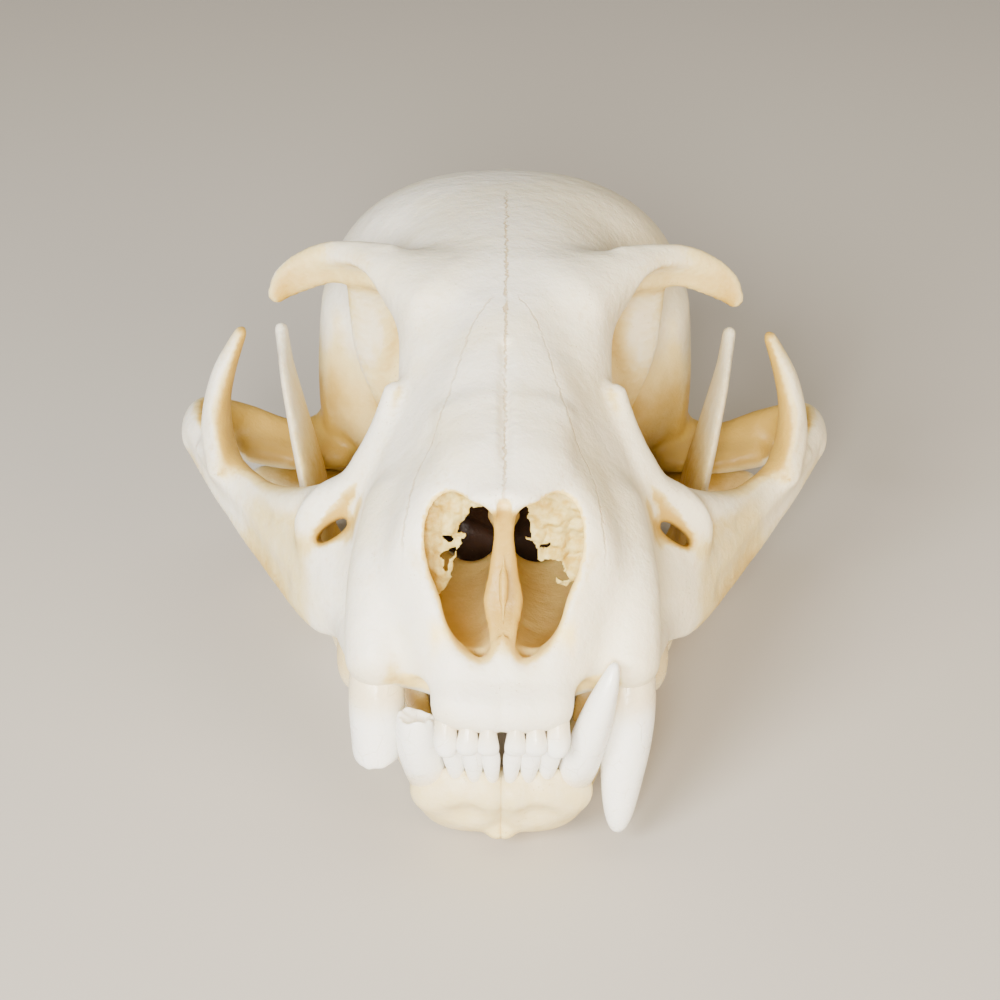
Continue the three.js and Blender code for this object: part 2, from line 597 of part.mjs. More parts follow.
// ---- the lower jaw ----
const jawForm = form(
  join(3,
    limb([
      [2.6, 11, -13.2, 3.4, 4.6], [7.2, 14, -13.2, 3, 5.4], [10.2, 22, -12.6, 2.7, 5.8],
      [13.6, 33, -12, 2.7, 5.8], [16.8, 45, -11.6, 2.7, 5.6], [20.6, 57, -10.4, 2.6, 5.6],
      [24.2, 67, -9, 2, 5.4],
    ]),
    limb([
      [25.2, 66, -7, 1.9, 10], [26.6, 67, 4, 1.5, 9.4], [28.7, 69.5, 12.6, 1.15, 6.8],
      [30.5, 72.4, 19.8, 0.85, 4.2], [31.3, 74.4, jaw.coronoidTop - 1, 0.9, 1.8],
    ], [0, 1, 0])),
  join(2,
    limb([[1.4, 8, -11.2, 2.6, 2.8], [2, 10.6, -14, 3.4, 3], [2, 13.6, -16.8, 3.6, 2.6]], [0, 1, 0]),
    limb([[5.4, 8.6, -11.2, 2.8, 2.8], [5, 11.4, -14.2, 3.2, 3.2], [3.6, 15, -16.8, 3.4, 2.8]], [0, 1, 0]),
    limb([[8.4, 9.6, -12, 2.7, 2.9], [7.2, 12.6, -14.2, 3, 3.4], [6, 16.6, -15.8, 2.8, 3]], [0, 1, 0]),
    limb([[25.4, 68, -8.6, 1.8, 5], [28.4, 78, -4, 1.7, 3.4]]),
    condyle(0),
    limb([[25, 68, -10.6, 1.9, 3.6], [26.4, 78, -11, 1.7, 2.4], [26.6, 86.2, -11.3, 1.5, 1.8]])),
  cut(1.5, ball([30.6, 64, -3], [4, 11, 6])),
  cut(1.4, ball([4.4, 5.4, -14.4], [2.4, 2, 1.8])),
);

// ---- teeth ----
// [x, y, z, half width, half depth] from the root to the tip, or along the row for the cheek teeth
const upperCanine = [
  [15.2, 15.4, 9, 2.4, 2.9], [15.1, 12.2, 0.6, 3.5, 3.5], [14.9, 10.7, -6.6, 3.15, 3.1],
  [14.5, 10, -12, 2.4, 2.4], [14.25, 9.8, -16.9, 1.1, 1.2],
];
const brokenUpperCanine = [
  [15.2, 15.4, 9, 2.4, 2.9], [15.1, 12.2, 0.6, 3.5, 3.5], [15.05, 11.1, -5, 3.25, 3.2],
  [15.1, 10.5, -8.4, 2.5, 2.4],
];
const lowerCanine = [
  [8, 12.8, -14.6, 1.6, 1.9], [9.2, 8.6, -8.4, 2.5, 2.6], [10.8, 6.8, -1.8, 2.25, 2.4],
  [12.2, 6.3, 3.4, 1.5, 1.7], [13.1, 6.5, 6.4, 0.7, 0.8],
];
const brokenLowerCanine = [
  [8, 12.8, -14.6, 1.6, 1.9], [9.2, 9.4, -9, 2.6, 2.6], [9.7, 7.9, -5, 2.6, 2.6],
  [10, 7.2, -1.4, 1.9, 1.9],
];
const upperIncisors = [
  [
    [1.45, 4.9, 2.6, 0.9, 1.2], [1.45, 3.8, -0.2, 0.95, 1.1], [1.45, 3, -2.4, 1.25, 1],
    [1.4, 2.95, -3.7, 0.8, 0.4],
  ],
  [
    [3.95, 5.3, 2.6, 1, 1.2], [3.95, 4.2, -0.2, 1.05, 1.2], [3.92, 3.2, -2.7, 1.3, 1.1],
    [3.85, 3.1, -4.3, 0.7, 0.4],
  ],
  [
    [6.5, 6.2, 3, 1.2, 1.5], [6.55, 4.8, 0, 1.35, 1.5], [6.4, 3.8, -3, 1.35, 1.35],
    [6.15, 3.3, -5.6, 0.5, 0.5],
  ],
];
const lowerIncisors = [
  [
    [1.1, 8.4, -11.4, 0.8, 1.2], [1.1, 6.8, -8, 0.9, 1], [1.1, 5.7, -5.2, 1, 0.7],
    [1.1, 5.4, -4.4, 0.7, 0.4],
  ],
  [
    [3.2, 8.6, -11.4, 0.85, 1.2], [3.2, 7, -8, 1, 1], [3.3, 5.9, -5.2, 1.1, 0.75],
    [3.3, 5.6, -4.4, 0.7, 0.4],
  ],
  [
    [5.3, 9, -11.4, 0.95, 1.2], [5.4, 7.4, -7.6, 1.15, 1.1], [5.6, 6.3, -5, 1.2, 0.8],
    [5.6, 6, -4.1, 0.7, 0.4],
  ],
];
const upperCheekTeeth = [
  [
    [16.8, 20.6, 0.4, 0.9, 1.4], [17.2, 22.6, -0.6, 1.5, 2.3], [17.7, 25, -1.6, 1.9, 3.6],
    [18.2, 27.6, -0.8, 1.7, 2.3], [18.5, 29.4, 0.2, 0.9, 1.4],
  ],
  [
    [18.8, 30.4, 0.2, 1, 1.5], [19.2, 32.6, -0.9, 1.7, 2.7], [19.7, 36, -2, 2, 4.4],
    [20, 38.8, -1.1, 1.8, 2.9], [19.9, 41.8, -1.3, 1.6, 3.3], [19.5, 44.6, 0.1, 0.8, 1.5],
  ],
];
const lowerCheekTeeth = [
  [
    [9.4, 18.4, -7.2, 0.8, 1.2], [9.9, 20.2, -6.2, 1.2, 2.2], [10.7, 22, -5.4, 1.5, 3.2],
    [11.4, 24, -6.2, 1.2, 2.2], [12, 25.6, -7.2, 0.8, 1.2],
  ],
  [
    [12.1, 26.4, -7.2, 0.9, 1.2], [12.7, 28.6, -5.9, 1.3, 2.4], [13.4, 30.8, -5, 1.6, 3.6],
    [14, 33.2, -5.8, 1.3, 2.5], [14.6, 35.2, -7, 0.9, 1.2],
  ],
  [
    [14.6, 36.2, -6.9, 0.9, 1.2], [15.2, 39, -5.2, 1.4, 3.4], [15.6, 41.6, -5.8, 1.3, 2.5],
    [16.2, 44.6, -4.8, 1.5, 3.6], [16.8, 47.4, -6.8, 0.9, 1.4],
  ],
];
const row = (teeth, look) => teeth.flatMap((t) => {
  const solid = sweptTooth(t, look);
  return [solid, solid.mirror([1, 0, 0])];
});

const canineLook = { rings: 9, sides: 10 };
const incisorLook = { rings: 6, sides: 7 };
const cheekLook = { rings: 9, sides: 8 };

const craniumSolid = [
  ...row(upperIncisors, incisorLook), ...row(upperCheekTeeth, cheekLook),
].reduce((sum, tooth) => sum.add(tooth), solidFrom(thin(triangulate(craniumForm, 0.95), 4000)))
  .subtract(sweptTooth(upperCanine, { ...canineLook, swell: socketGap }))
  .subtract(sweptTooth(brokenUpperCanine, { ...canineLook, swell: socketGap }).mirror([1, 0, 0]));

const slab = new THREE.BoxGeometry(socketGap, 60, 60);
slab.translate(0, 10, -10);
const jawSolid = [
  ...row(lowerIncisors, incisorLook), ...row(lowerCheekTeeth, cheekLook),
].reduce((sum, tooth) => sum.add(tooth), solidFrom(thin(triangulate(jawForm, 0.9), 1400)))
  .subtract(solidOf(slab))
  .subtract(sweptTooth(lowerCanine, { ...canineLook, swell: socketGap }))
  .subtract(sweptTooth(brokenLowerCanine, { ...canineLook, swell: socketGap }).mirror([1, 0, 0]));

// ---- at rest on the jaw ----
const turned = (solid) => solid.rotate([-palateTilt, 0, 0]);
const bones = turned(craniumSolid).boundingBox();
const low = turned(jawSolid).boundingBox().min[2] + footDepth;
const settle = (solid) => turned(solid).translate([0, -(bones.min[1] + bones.max[1]) / 2, -low]);
const floor = new THREE.BoxGeometry(120, 160, 10);
floor.translate(0, 0, -5);
const halves = settle(jawSolid).subtract(solidOf(floor)).decompose();

function part(name, solid, color, roughness = 0.5) {
  const mesh = solid.getMesh();
  const geometry = new THREE.BufferGeometry();
  geometry.setAttribute("position", new THREE.Float32BufferAttribute(mesh.vertProperties, 3));
  geometry.setIndex(new THREE.Uint32BufferAttribute(mesh.triVerts, 1));
  const made = new THREE.Mesh(geometry, new THREE.MeshStandardMaterial({ color, roughness }));
  made.name = name;
  return made;
}

const boneColor = "#efe9dc";
const toothColor = "#f4f1e6";
const solids = {
  cranium: settle(craniumSolid),
  jaw_left: halves.find((half) => half.boundingBox().max[0] > 1),
  jaw_right: halves.find((half) => half.boundingBox().max[0] < 1),
  upper_canine_left: settle(sweptTooth(upperCanine, canineLook)),
  upper_canine_right: settle(sweptTooth(brokenUpperCanine, canineLook).mirror([1, 0, 0])),
  lower_canine_left: settle(sweptTooth(lowerCanine, canineLook)),
  lower_canine_right: settle(sweptTooth(brokenLowerCanine, canineLook).mirror([1, 0, 0])),
};
const skull = new THREE.Group();
skull.name = "lynx_skull";
for (const [name, solid] of Object.entries(solids)) {
  skull.add(part(name, solid, name.includes("canine") ? toothColor : boneColor));
}
export default skull;
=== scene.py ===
import math
import bpy
import numpy as np
from mathutils import Matrix, Vector


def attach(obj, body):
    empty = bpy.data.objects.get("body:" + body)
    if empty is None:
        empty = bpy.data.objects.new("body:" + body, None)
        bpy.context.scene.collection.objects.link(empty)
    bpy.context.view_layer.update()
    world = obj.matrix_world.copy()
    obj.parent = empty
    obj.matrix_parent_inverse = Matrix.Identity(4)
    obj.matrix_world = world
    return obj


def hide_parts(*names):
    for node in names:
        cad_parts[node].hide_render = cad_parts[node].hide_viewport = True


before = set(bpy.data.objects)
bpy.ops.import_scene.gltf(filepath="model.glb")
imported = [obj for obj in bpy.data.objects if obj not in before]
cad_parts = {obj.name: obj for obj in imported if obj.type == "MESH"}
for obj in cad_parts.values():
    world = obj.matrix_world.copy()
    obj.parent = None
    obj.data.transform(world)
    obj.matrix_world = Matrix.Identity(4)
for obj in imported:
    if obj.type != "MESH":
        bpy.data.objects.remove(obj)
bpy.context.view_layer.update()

# A lynx skull lying on its lower jaw. The bones are blended from round forms in millimetres: y runs back
# from the incisors, z up from the palate, x to the animal's left. They are then tilted and set down.
pose = {
    "tilt": 5.7,  # degrees that the palate slopes up to the nose
    "shift": (0.0, -62.217, 21.384),
}


def toRow(points):
    a = -math.radians(pose["tilt"])
    p = np.asarray(points, float).reshape(-1, 3)
    y = p[:, 1] * math.cos(a) - p[:, 2] * math.sin(a)
    z = p[:, 1] * math.sin(a) + p[:, 2] * math.cos(a)
    return (np.stack([p[:, 0], y, z], 1) + np.array(pose["shift"])) / 1000


# A round form is a low corner, a high corner and a distance that is below 0 inside. "farOff" stands
# for the distance of a form that isn't near.
farOff = 12.0


def melt(a, b, k):
    h = np.maximum(k - np.abs(a - b), 0) / k
    return np.minimum(a, b) - h * h * k * 0.25


def curvePoints(points, steps):
    p = np.asarray(points, float)
    p = np.vstack([2 * p[0] - p[1], p, 2 * p[-1] - p[-2]])
    curve = []
    for i in range(1, len(p) - 2):
        g = [max(np.sum((p[i + k] - p[i + k - 1]) ** 2) ** 0.25, 1e-4) for k in range(3)]
        t1 = (p[i] - p[i - 1]) / g[0] - (p[i + 1] - p[i - 1]) / (g[0] + g[1]) + (p[i + 1] - p[i]) / g[1]
        t2 = (p[i + 1] - p[i]) / g[1] - (p[i + 2] - p[i]) / (g[1] + g[2]) + (p[i + 2] - p[i + 1]) / g[2]
        t1, t2 = t1 * g[1], t2 * g[1]
        for s in range(steps):
            f = s / steps
            curve.append(p[i] + t1 * f + (3 * (p[i + 1] - p[i]) - 2 * t1 - t2) * f * f
                         + (2 * (p[i] - p[i + 1]) + t1 + t2) * f ** 3)
    curve.append(p[-2])
    return np.array(curve)


def ball(centre, radii, pitch=0, yaw=0, roll=0):
    turn = (Matrix.Rotation(math.radians(-roll), 3, "Y") @ Matrix.Rotation(math.radians(-yaw), 3, "Z")
            @ Matrix.Rotation(math.radians(-pitch), 3, "X"))
    c, r = np.array(centre, float), np.array(radii, float)

    def distance(x, y, z, reach):
        d = (x[:, None, None] - c[0], y[None, :, None] - c[1], z[None, None, :] - c[2])
        u = [(turn[i][0] * d[0] + turn[i][1] * d[1] + turn[i][2] * d[2]) / r[i] for i in range(3)]
        k = np.sqrt(u[0] ** 2 + u[1] ** 2 + u[2] ** 2)
        slope = np.sqrt((u[0] / r[0]) ** 2 + (u[1] / r[1]) ** 2 + (u[2] / r[2]) ** 2)
        return np.where(slope < 1e-9, -r.min(), k * (k - 1) / np.maximum(slope, 1e-9))
    return c - r.max(), c + r.max(), distance


# A limb runs through stations of x, y, z, half thickness and half height.
def limb(stations, rise=(0, 0, 1), steps=5):
    s = np.array(stations, float)
    path = curvePoints(s[:, :3], steps)
    at = np.linspace(0, len(s) - 1, len(path))
    thick = np.interp(at, np.arange(len(s)), s[:, 3])
    high = np.interp(at, np.arange(len(s)), s[:, 4])
    up = np.array(rise, float) / np.linalg.norm(rise)
    widest = max(thick.max(), high.max())

    def distance(x, y, z, reach):
        best = np.full((len(x), len(y), len(z)), farOff)
        for i in range(len(path) - 1):
            a, d = path[i], path[i + 1] - path[i]
            grow = max(thick[i:i + 2].max(), high[i:i + 2].max()) + reach
            low, top = np.minimum(a, path[i + 1]) - grow, np.maximum(a, path[i + 1]) + grow
            box = tuple(slice(*np.searchsorted(v, [low[n], top[n]])) for n, v in enumerate((x, y, z)))
            if best[box].size == 0:
                continue
            side = np.cross(d, up)
            side /= np.linalg.norm(side)
            over = np.cross(side, d)
            over /= np.linalg.norm(over)
            px = x[box[0], None, None] - a[0]
            py = y[None, box[1], None] - a[1]
            pz = z[None, None, box[2]] - a[2]
            t = np.clip((px * d[0] + py * d[1] + pz * d[2]) / (d @ d), 0, 1)
            qx, qy, qz = px - t * d[0], py - t * d[1], pz - t * d[2]
            ra = thick[i] + (thick[i + 1] - thick[i]) * t
            rb = high[i] + (high[i + 1] - high[i]) * t
            u = qx * side[0] + qy * side[1] + qz * side[2]
            v = qx * over[0] + qy * over[1] + qz * over[2]
            w = np.maximum(0, qx * qx + qy * qy + qz * qz - u * u - v * v)
            rc = np.minimum(ra, rb)
            k = np.sqrt((u / ra) ** 2 + (v / rb) ** 2 + w / rc ** 2)
            slope = np.sqrt((u / ra ** 2) ** 2 + (v / rb ** 2) ** 2 + w / rc ** 4)
            found = np.where(slope < 1e-9, -rc, k * (k - 1) / np.maximum(slope, 1e-9))
            best[box] = np.minimum(best[box], found)
        return best
    return path.min(0) - widest, path.max(0) + widest, distance


# A trunk follows y: bottom, top, half width, height of the widest place, squareness above and below.
def trunk(stations, front, rear, edge):
    s = np.array(stations, float)

    def sizesAt(y):
        t = np.clip(y, s[0, 0], s[-1, 0])
        i = np.clip(np.searchsorted(s[:, 0], t), 1, len(s) - 1)
        f = ((t - s[i - 1, 0]) / (s[i, 0] - s[i - 1, 0]))[:, None]
        v = s[:, 1:]
        m0 = (v[i] - v[np.maximum(0, i - 2)]) / 2
        m1 = (v[np.minimum(len(s) - 1, i + 1)] - v[i - 1]) / 2
        return (v[i - 1] + (v[i] - v[i - 1]) * f * f * (3 - 2 * f)
                + m0 * (f - 2 * f * f + f ** 3) + m1 * (f ** 3 - f * f))

    def distance(x, y, z, reach):
        bottom, top, half, wide, powerUp, powerDown = [v[None, :, None] for v in sizesAt(y).T]
        x, y, z = x[:, None, None], y[None, :, None], z[None, None, :]
        above = z > wide
        tall = np.where(above, top - wide, wide - bottom)
        n = np.where(above, powerUp, powerDown)
        u, v = np.abs(x) / half, np.abs(z - wide) / tall
        k = np.maximum(u ** n + v ** n, 1e-12) ** (1 / n)
        slope = np.hypot(u ** (n - 1) / half, v ** (n - 1) / tall)
        around = np.where(k < 1e-3, -np.minimum(half, tall),
                          (k - 1) * k ** (n - 1) / np.maximum(slope, 1e-9))
        ahead = (front[0] + front[1] * z - y) / math.hypot(1, front[1])
        behind = (y - rear[0] - rear[1] * z) / math.hypot(1, rear[1])
        return -melt(-around, melt(-ahead, -behind, edge), edge)
    low = np.array([-s[:, 3].max(), front[0] - 4, s[:, 1].min()])
    high = np.array([s[:, 3].max(), rear[0] + 6, s[:, 2].max()])
    return low, high, distance


def join(blend, *forms):
    return [("join", blend, form) for form in forms]


def cut(blend, *forms):
    return [("cut", blend, form) for form in forms]


# The steps of a bone are worked in order on the side where x is above 0.
def fieldOf(steps, grain):
    kept = [form for what, blend, form in steps if what == "join"]
    low = np.min([f[0] for f in kept], 0) - 2 * grain
    high = np.max([f[1] for f in kept], 0) + 2 * grain
    low[0] = -2 * grain
    axes = [(np.arange(math.floor(low[i] / grain), math.ceil(high[i] / grain) + 1)) * grain
            for i in range(3)]
    field = np.full([len(a) for a in axes], farOff)
    for what, blend, (near, far, distance) in steps:
        reach = blend + 1
        box = tuple(slice(*np.searchsorted(a, [near[i] - reach, far[i] + reach]))
                    for i, a in enumerate(axes))
        if field[box].size == 0:
            continue
        found = distance(axes[0][box[0]], axes[1][box[1]], axes[2][box[2]], reach)
        old = field[box]
        field[box] = melt(old, found, blend) if what == "join" else -melt(-old, found, blend)
    return field, axes


def mirrored(field, axes):
    start = int(np.argmin(np.abs(axes[0])))
    half = field[start:]
    x = axes[0][start:]
    return np.concatenate([half[:0:-1], half]), [np.concatenate([-x[:0:-1], x]), axes[1], axes[2]]


# A skin of four-sided faces where the field crosses 0, with one point in each cell that it passes.
def skinOf(field, axes):
    grain = axes[1][1] - axes[1][0]
    inside = field < 0
    shape = [n - 1 for n in field.shape]
    corners = [(i, j, k) for i in (0, 1) for j in (0, 1) for k in (0, 1)]
    count = sum(inside[i:i + shape[0], j:j + shape[1], k:k + shape[2]].astype(np.int8)
                for i, j, k in corners)
    cells = np.argwhere((count > 0) & (count < 8))
    number = np.full(shape, -1, np.int64)
    number[tuple(cells.T)] = np.arange(len(cells))
    value = {c: field[tuple((cells + c).T)] for c in corners}
    total, hits = np.zeros((len(cells), 3)), np.zeros(len(cells))
    for a in corners:
        for axis in range(3):
            if a[axis]:
                continue
            b = tuple(v + (i == axis) for i, v in enumerate(a))
            crossed = (value[a] < 0) != (value[b] < 0)
            step = np.zeros((len(cells), 3)) + a
            step[:, axis] += value[a] / np.where(crossed, value[a] - value[b], 1)
            total[crossed] += step[crossed]
            hits += crossed
    origin = np.array([a[0] for a in axes])
    points = origin + (cells + total / hits[:, None]) * grain
    faces = []
    for axis in range(3):
        one, two = [slice(None)] * 3, [slice(None)] * 3
        one[axis], two[axis] = slice(None, -1), slice(1, None)
        at = np.argwhere(inside[tuple(one)] != inside[tuple(two)])
        u, v = (axis + 1) % 3, (axis + 2) % 3
        ring = []
        for du, dv in ((1, 1), (0, 1), (0, 0), (1, 0)):
            c = at.copy()
            c[:, u] -= du
            c[:, v] -= dv
            ring.append(number[tuple(c.T)])
        quad = np.stack(ring, 1)
        outward = inside[tuple(at.T)]
        quad[~outward] = quad[~outward][:, ::-1]
        faces.append(quad)
    return points, np.concatenate(faces)


def smooth(value, low, high):
    t = np.clip((value - low) / (high - low), 0, 1)
    return t * t * (3 - 2 * t)


# How shut in a place is: 0 in the open, 1 deep in a hollow, felt along the way out of the surface.
def shelterOf(points, normals, field, axes, steps):
    total = np.zeros(len(points))
    for step in steps:
        free = np.minimum(fieldAt(points + normals * step, field, axes, step), step)
        total += np.clip(1 - free / step, 0, 1)
    return total / len(steps)


def fieldAt(points, field, axes, beyond):
    grain = axes[1][1] - axes[1][0]
    at = np.rint((points - np.array([a[0] for a in axes])) / grain).astype(int)
    out = np.any((at < 0) | (at >= field.shape), 1)
    at = np.clip(at, 0, np.array(field.shape) - 1)
    return np.where(out, beyond, field[tuple(at.T)])


# The cranium, in millimetres.
cranium = {
    "length": 121,  # incisors to occiput
    "crown": 45,  # palate to the top
    "brainHalf": 26.5,
    "archHalf": 45.2,  # half of the width across the cheek arches
    "browHalf": 31,
    "grain": 0.5,  # cell of the bone mesh
    "faces": 190000,
}
crown, back, brainHalf = cranium["crown"], cranium["length"], cranium["brainHalf"]
archHalf, browHalf = cranium["archHalf"], cranium["browHalf"]


def hingeRoll(swell):
    return limb([[21.5 - swell, 79.5, -2.1, 2.3 + swell, 2.2 + swell],
                 [28, 79.8, -1.5, 2.6 + swell, 2.6 + swell],
                 [35 + swell, 80.4, -1.1, 2.2 + swell, 2.1 + swell]])


vault = trunk([
    [20, 20, 29, 7, 24, 2, 2], [28, 23, 33.4, 9.5, 27, 2, 2], [36, 23, 37.4, 11, 29, 2.1, 2],
    [42, 20, 40, 13.4, 30, 2.2, 2], [50, 15, crown - 2.4, 15, 30, 2.2, 2],
    [60, 10, crown - 1, 16.6, 29, 2.2, 2], [70, 7, crown - 0.4, 18.2, 27, 2.4, 2],
    [80, 5, crown - 0.6, 24.4, 22, 2.5, 2.4],
    [90, 3.5, crown - 1.9, brainHalf, 19, 2.4, 2.5], [100, 3, crown - 5.2, brainHalf - 0.5, 18, 2.2, 2.5],
    [110, 3, crown - 11, 23.5, 17, 2.1, 2.5], [118, 4, crown - 16.5, 18, 16, 2, 2.4],
    [124, 6, crown - 20, 13, 15, 2, 2.2],
], (18, 0), (back - 3, 0.03), 7)
base = limb([[0, 44, 9, 6, 5], [0, 54, 9, 7, 7], [0, 72, 10, 9, 7], [0, 90, 7, 9, 5], [0, 113, 5, 8, 4]])
muzzle = trunk([
    [2, -0.8, 14, 7, 2, 2.4, 2.4], [6, -0.8, 20, 8.4, 3, 2.2, 2.4], [9, -1, 24, 11, 5, 2.4, 2.6],
    [13, -1.2, 27.2, 14.6, 6, 2.4, 3], [18, -0.9, 29.6, 16.6, 6, 2.1, 3.4],
    [24, -0.6, 31.4, 18.4, 7, 1.8, 3.6], [30, -0.4, 33.4, 19.4, 8, 1.75, 3.6],
    [37, -0.2, 35.4, 19.1, 9, 1.9, 3.4], [44, 0, 36, 17.5, 10, 2.2, 3], [52, 0.6, 35, 15, 12, 2.2, 2.4],
], (3, 0.425), (50, -0.1), 3)
nasalBones = limb([[0, 12.6, 24.6, 5.2, 2.2], [0, 18, 27, 7.4, 2.6], [0, 26, 30, 8, 2.6]])
canineRoot = limb([[15, 12.4, 4.6, 3.9, 4.1], [15.1, 14.6, 8, 3.9, 4.2], [15.2, 18.6, 12.6, 3.5, 4],
                   [13.8, 25, 18.4, 3, 3.4]], (0, 1, 0))
incisorBar = limb([[1.6, 4.9, 1.4, 2.4, 2.4], [5.9, 5.7, 1.4, 2.5, 2.5]], (0, 1, 0))
eyeSocket = ball([27.6, 53, 25.6], [16.8, 20.4, 14.6], 4)
eyeRim = limb([[14, 37.6, 28.8, 1.2, 1.4], [15.2, 36, 24.6, 1.6, 1.7], [17, 34.8, 20.4, 2.1, 2.1],
               [19.4, 35.6, 17, 2.6, 1.8], [22.6, 38.6, 14.2, 2.6, 1.7], [27, 43.4, 11.4, 2.4, 1.7],
               [31.6, 49.4, 9.4, 1.8, 1.8], [35.6, 55, 8.8, 1.6, 2.4]])
rimEdge = limb([[41.4, 61.4, 11.2, 0.7, 0.7], [37.2, 55, 9.2, 0.7, 0.7], [32.5, 49, 8.7, 0.7, 0.7],
                [26.6, 42, 9.9, 0.8, 0.8], [23.5, 38.6, 12.4, 0.8, 0.8], [20.8, 36.4, 15.2, 0.8, 0.8],
                [18.2, 35, 18.6, 0.7, 0.7]])
cheekBone = limb([[38, 57, 10, 2, 4.6], [39, 59.8, 15, 2.1, 4], [38.9, 61, 18.8, 1.8, 3.2],
                  [37.9, 61.2, 22.8, 1.55, 2.5], [36.5, 60.8, 26.2, 1.15, 1.9],
                  [35.4, 60.2, 28.6, 0.85, 1.3]], (0, 1, 0))
arch = limb([[17, 28.5, 5, 3.2, 5.6], [22.2, 32.6, 4.6, 2.4, 6.8], [26.4, 38.6, 5.4, 2, 6.3],
             [31.4, 46.8, 5.8, 1.9, 4.6], [36, 55, 7.3, 1.9, 3.7], [40.2, 62, 9.7, 1.8, 3.5],
             [archHalf - 2, 69, 11, 1.8, 3.2], [archHalf - 2.4, 75.5, 10.7, 2, 2.9],
             [38.4, 80.8, 8.2, 2.4, 2.5], [31, 83.2, 4.4, 3, 2.7], [24, 86, 4.2, 3.4, 3.4]], (-0.25, 0, 1))
jawRoof = limb([[24, 81, 3, 3.2, 2.2], [31, 80.5, 3.4, 4.4, 2.2], [36.5, 80, 4.6, 3.8, 2.4]])
jawStop = limb([[24.5, 84.8, -1.8, 1.3, 2.6], [31, 84.8, -0.8, 1.2, 2.6]])
brow = limb([[8, 49, 37.8, 6, 3.5], [14, 54, 38.8, 4.2, 3.3], [19.4, 57.6, 38.8, 2.6, 3],
             [23.4, 59.6, 38.4, 1.5, 2.7], [26.8, 60.6, 37, 1.1, 2.5], [29.2, 60.8, 35.3, 0.9, 2.1],
             [browHalf - 0.5, 60.6, 33.5, 0.8, 1]])
browEdge = limb([[15, 55.6, 41.4, 1.2, 1], [20, 58.6, 41, 0.9, 0.8], [23.8, 60, 40.4, 0.8, 0.8],
                 [27.2, 60.9, 38.7, 0.7, 0.7], [29.6, 60.9, 36.8, 0.6, 0.6],
                 [browHalf, 60.6, 34.2, 0.5, 0.5]])
eyeCrest = limb([[17.8, 61, 35, 3.3, 1.7], [17.6, 62.4, 31, 3.4, 1.6], [17.3, 63.6, 27, 3.4, 1.5],
                 [16.4, 65, 22.6, 3.4, 1.5], [14.6, 66, 17.4, 3.2, 1.6]], (0, 1, 0))
templeWall = limb([[23.6, 82, 25, 2.2, 6], [24.3, 83.4, 17, 2.2, 5.4], [24.4, 84.4, 8, 2.2, 4.6]],
                  (0, 1, 0))
templeBack = ball([17, 82.5, 13], [8.4, 8.4, 11])
earCapsule = ball([15.5, 96.5, 3.4], [8.4, 13, 9], 0, -14)
neckCrest = limb([[0, back - 3, 27, 1.6, 2], [10, back - 4, 25, 1.6, 2], [19, back - 9, 17.5, 1.8, 2],
                  [23.6, back - 16, 8, 2.4, 3]])
topCrest = limb([[0, 97, 39.4, 1, 1], [0, 105, 36.2, 1.2, 1.3], [0, 111, 32.8, 1.4, 2],
                 [0, back - 3.5, 27, 1.6, 2.4]])
neckJoint = ball([7.6, back - 4, 5], [4.2, 4.4, 5], 0, 20)
mastoid = limb([[20.5, 106, 4, 3.2, 3], [20.8, 108, -2, 1.8, 2]])
earRim = ball([24, 101, 5], [3, 4, 5.2])
throatWing = limb([[8.8, 45, 3.6, 1.6, 3], [7.8, 52, 4, 1.2, 5], [7.4, 62, 3, 1, 5.6],
                   [7.6, 67, -2, 0.9, 2.4]])

# openings: the nose and its way to the throat, the holes of cheek, spine, ear and eye
nostril = limb([[4.7, 3, 18.6, 4.1, 6.2], [4.8, 12, 18.6, 4.2, 6.4], [5.7, 17, 18.4, 4.9, 6.8],
                [6.6, 32, 18, 5.8, 8.2], [5.2, 44, 15, 4.4, 6.4]])
airway = limb([[3.7, 1, 12.4, 3, 5], [3.8, 8, 12.4, 3.1, 5.4], [4, 12, 11.9, 3.4, 5.8],
               [5.3, 17, 10.4, 4.7, 6.1], [6.4, 23, 9, 5.7, 6.3], [6.4, 30, 8.2, 5.8, 6],
               [5.4, 40, 7, 5, 5.2], [4.6, 47.4, 6.2, 4.2, 4.6], [4.2, 51.6, 2.2, 3.8, 4],
               [3.8, 53.6, -4, 3.4, 3.6], [3.6, 55, -9, 3.4, 3.6]], (0.24, 0, 1))
throatRoof = limb([[3.4, 60, -0.7, 4.4, 4.7], [3.3, 66, 1.2, 3.9, 3.4], [3.2, 74, 2, 3.6, 2.2]])
cheekWeb = ball([22.1, 35, 11.6], [4.4, 1.7, 4.6])
cheekHole = limb([[21.9, 23, 16, 0.8, 2.3], [21.8, 30, 13.1, 0.8, 2.4], [21.5, 38, 9.6, 0.95, 2.4],
                  [20.6, 48, 5.4, 1.8, 2.4]], (-0.78, 0, 0.62))
cheekScoop = ball([25.4, 26.4, 9.6], [2.2, 3.6, 2.4], 0, 0, -30)
toothRidge = limb([[17.8, 19, 1.8, 1.6, 1.8], [19.2, 26, 1.4, 1.8, 2.2], [20.2, 34, 1.2, 1.8, 2.3],
                   [20, 43, 1.4, 1.6, 2]])
innerNose = limb([[2.4, 2, 15.4, 1.6, 8.6], [2.5, 12, 15.4, 1.7, 9], [3, 24, 14, 2.2, 10],
                  [3.6, 36, 12.6, 2.8, 8.6]])
spineHole = ball([0, back + 1, 10.5], [6.6, 12, 6])
earHole = ball([27, 93.5, 6], [6, 2.4, 2.4])
palateVault = ball([0, 28, -8], [13, 22, 7.4])

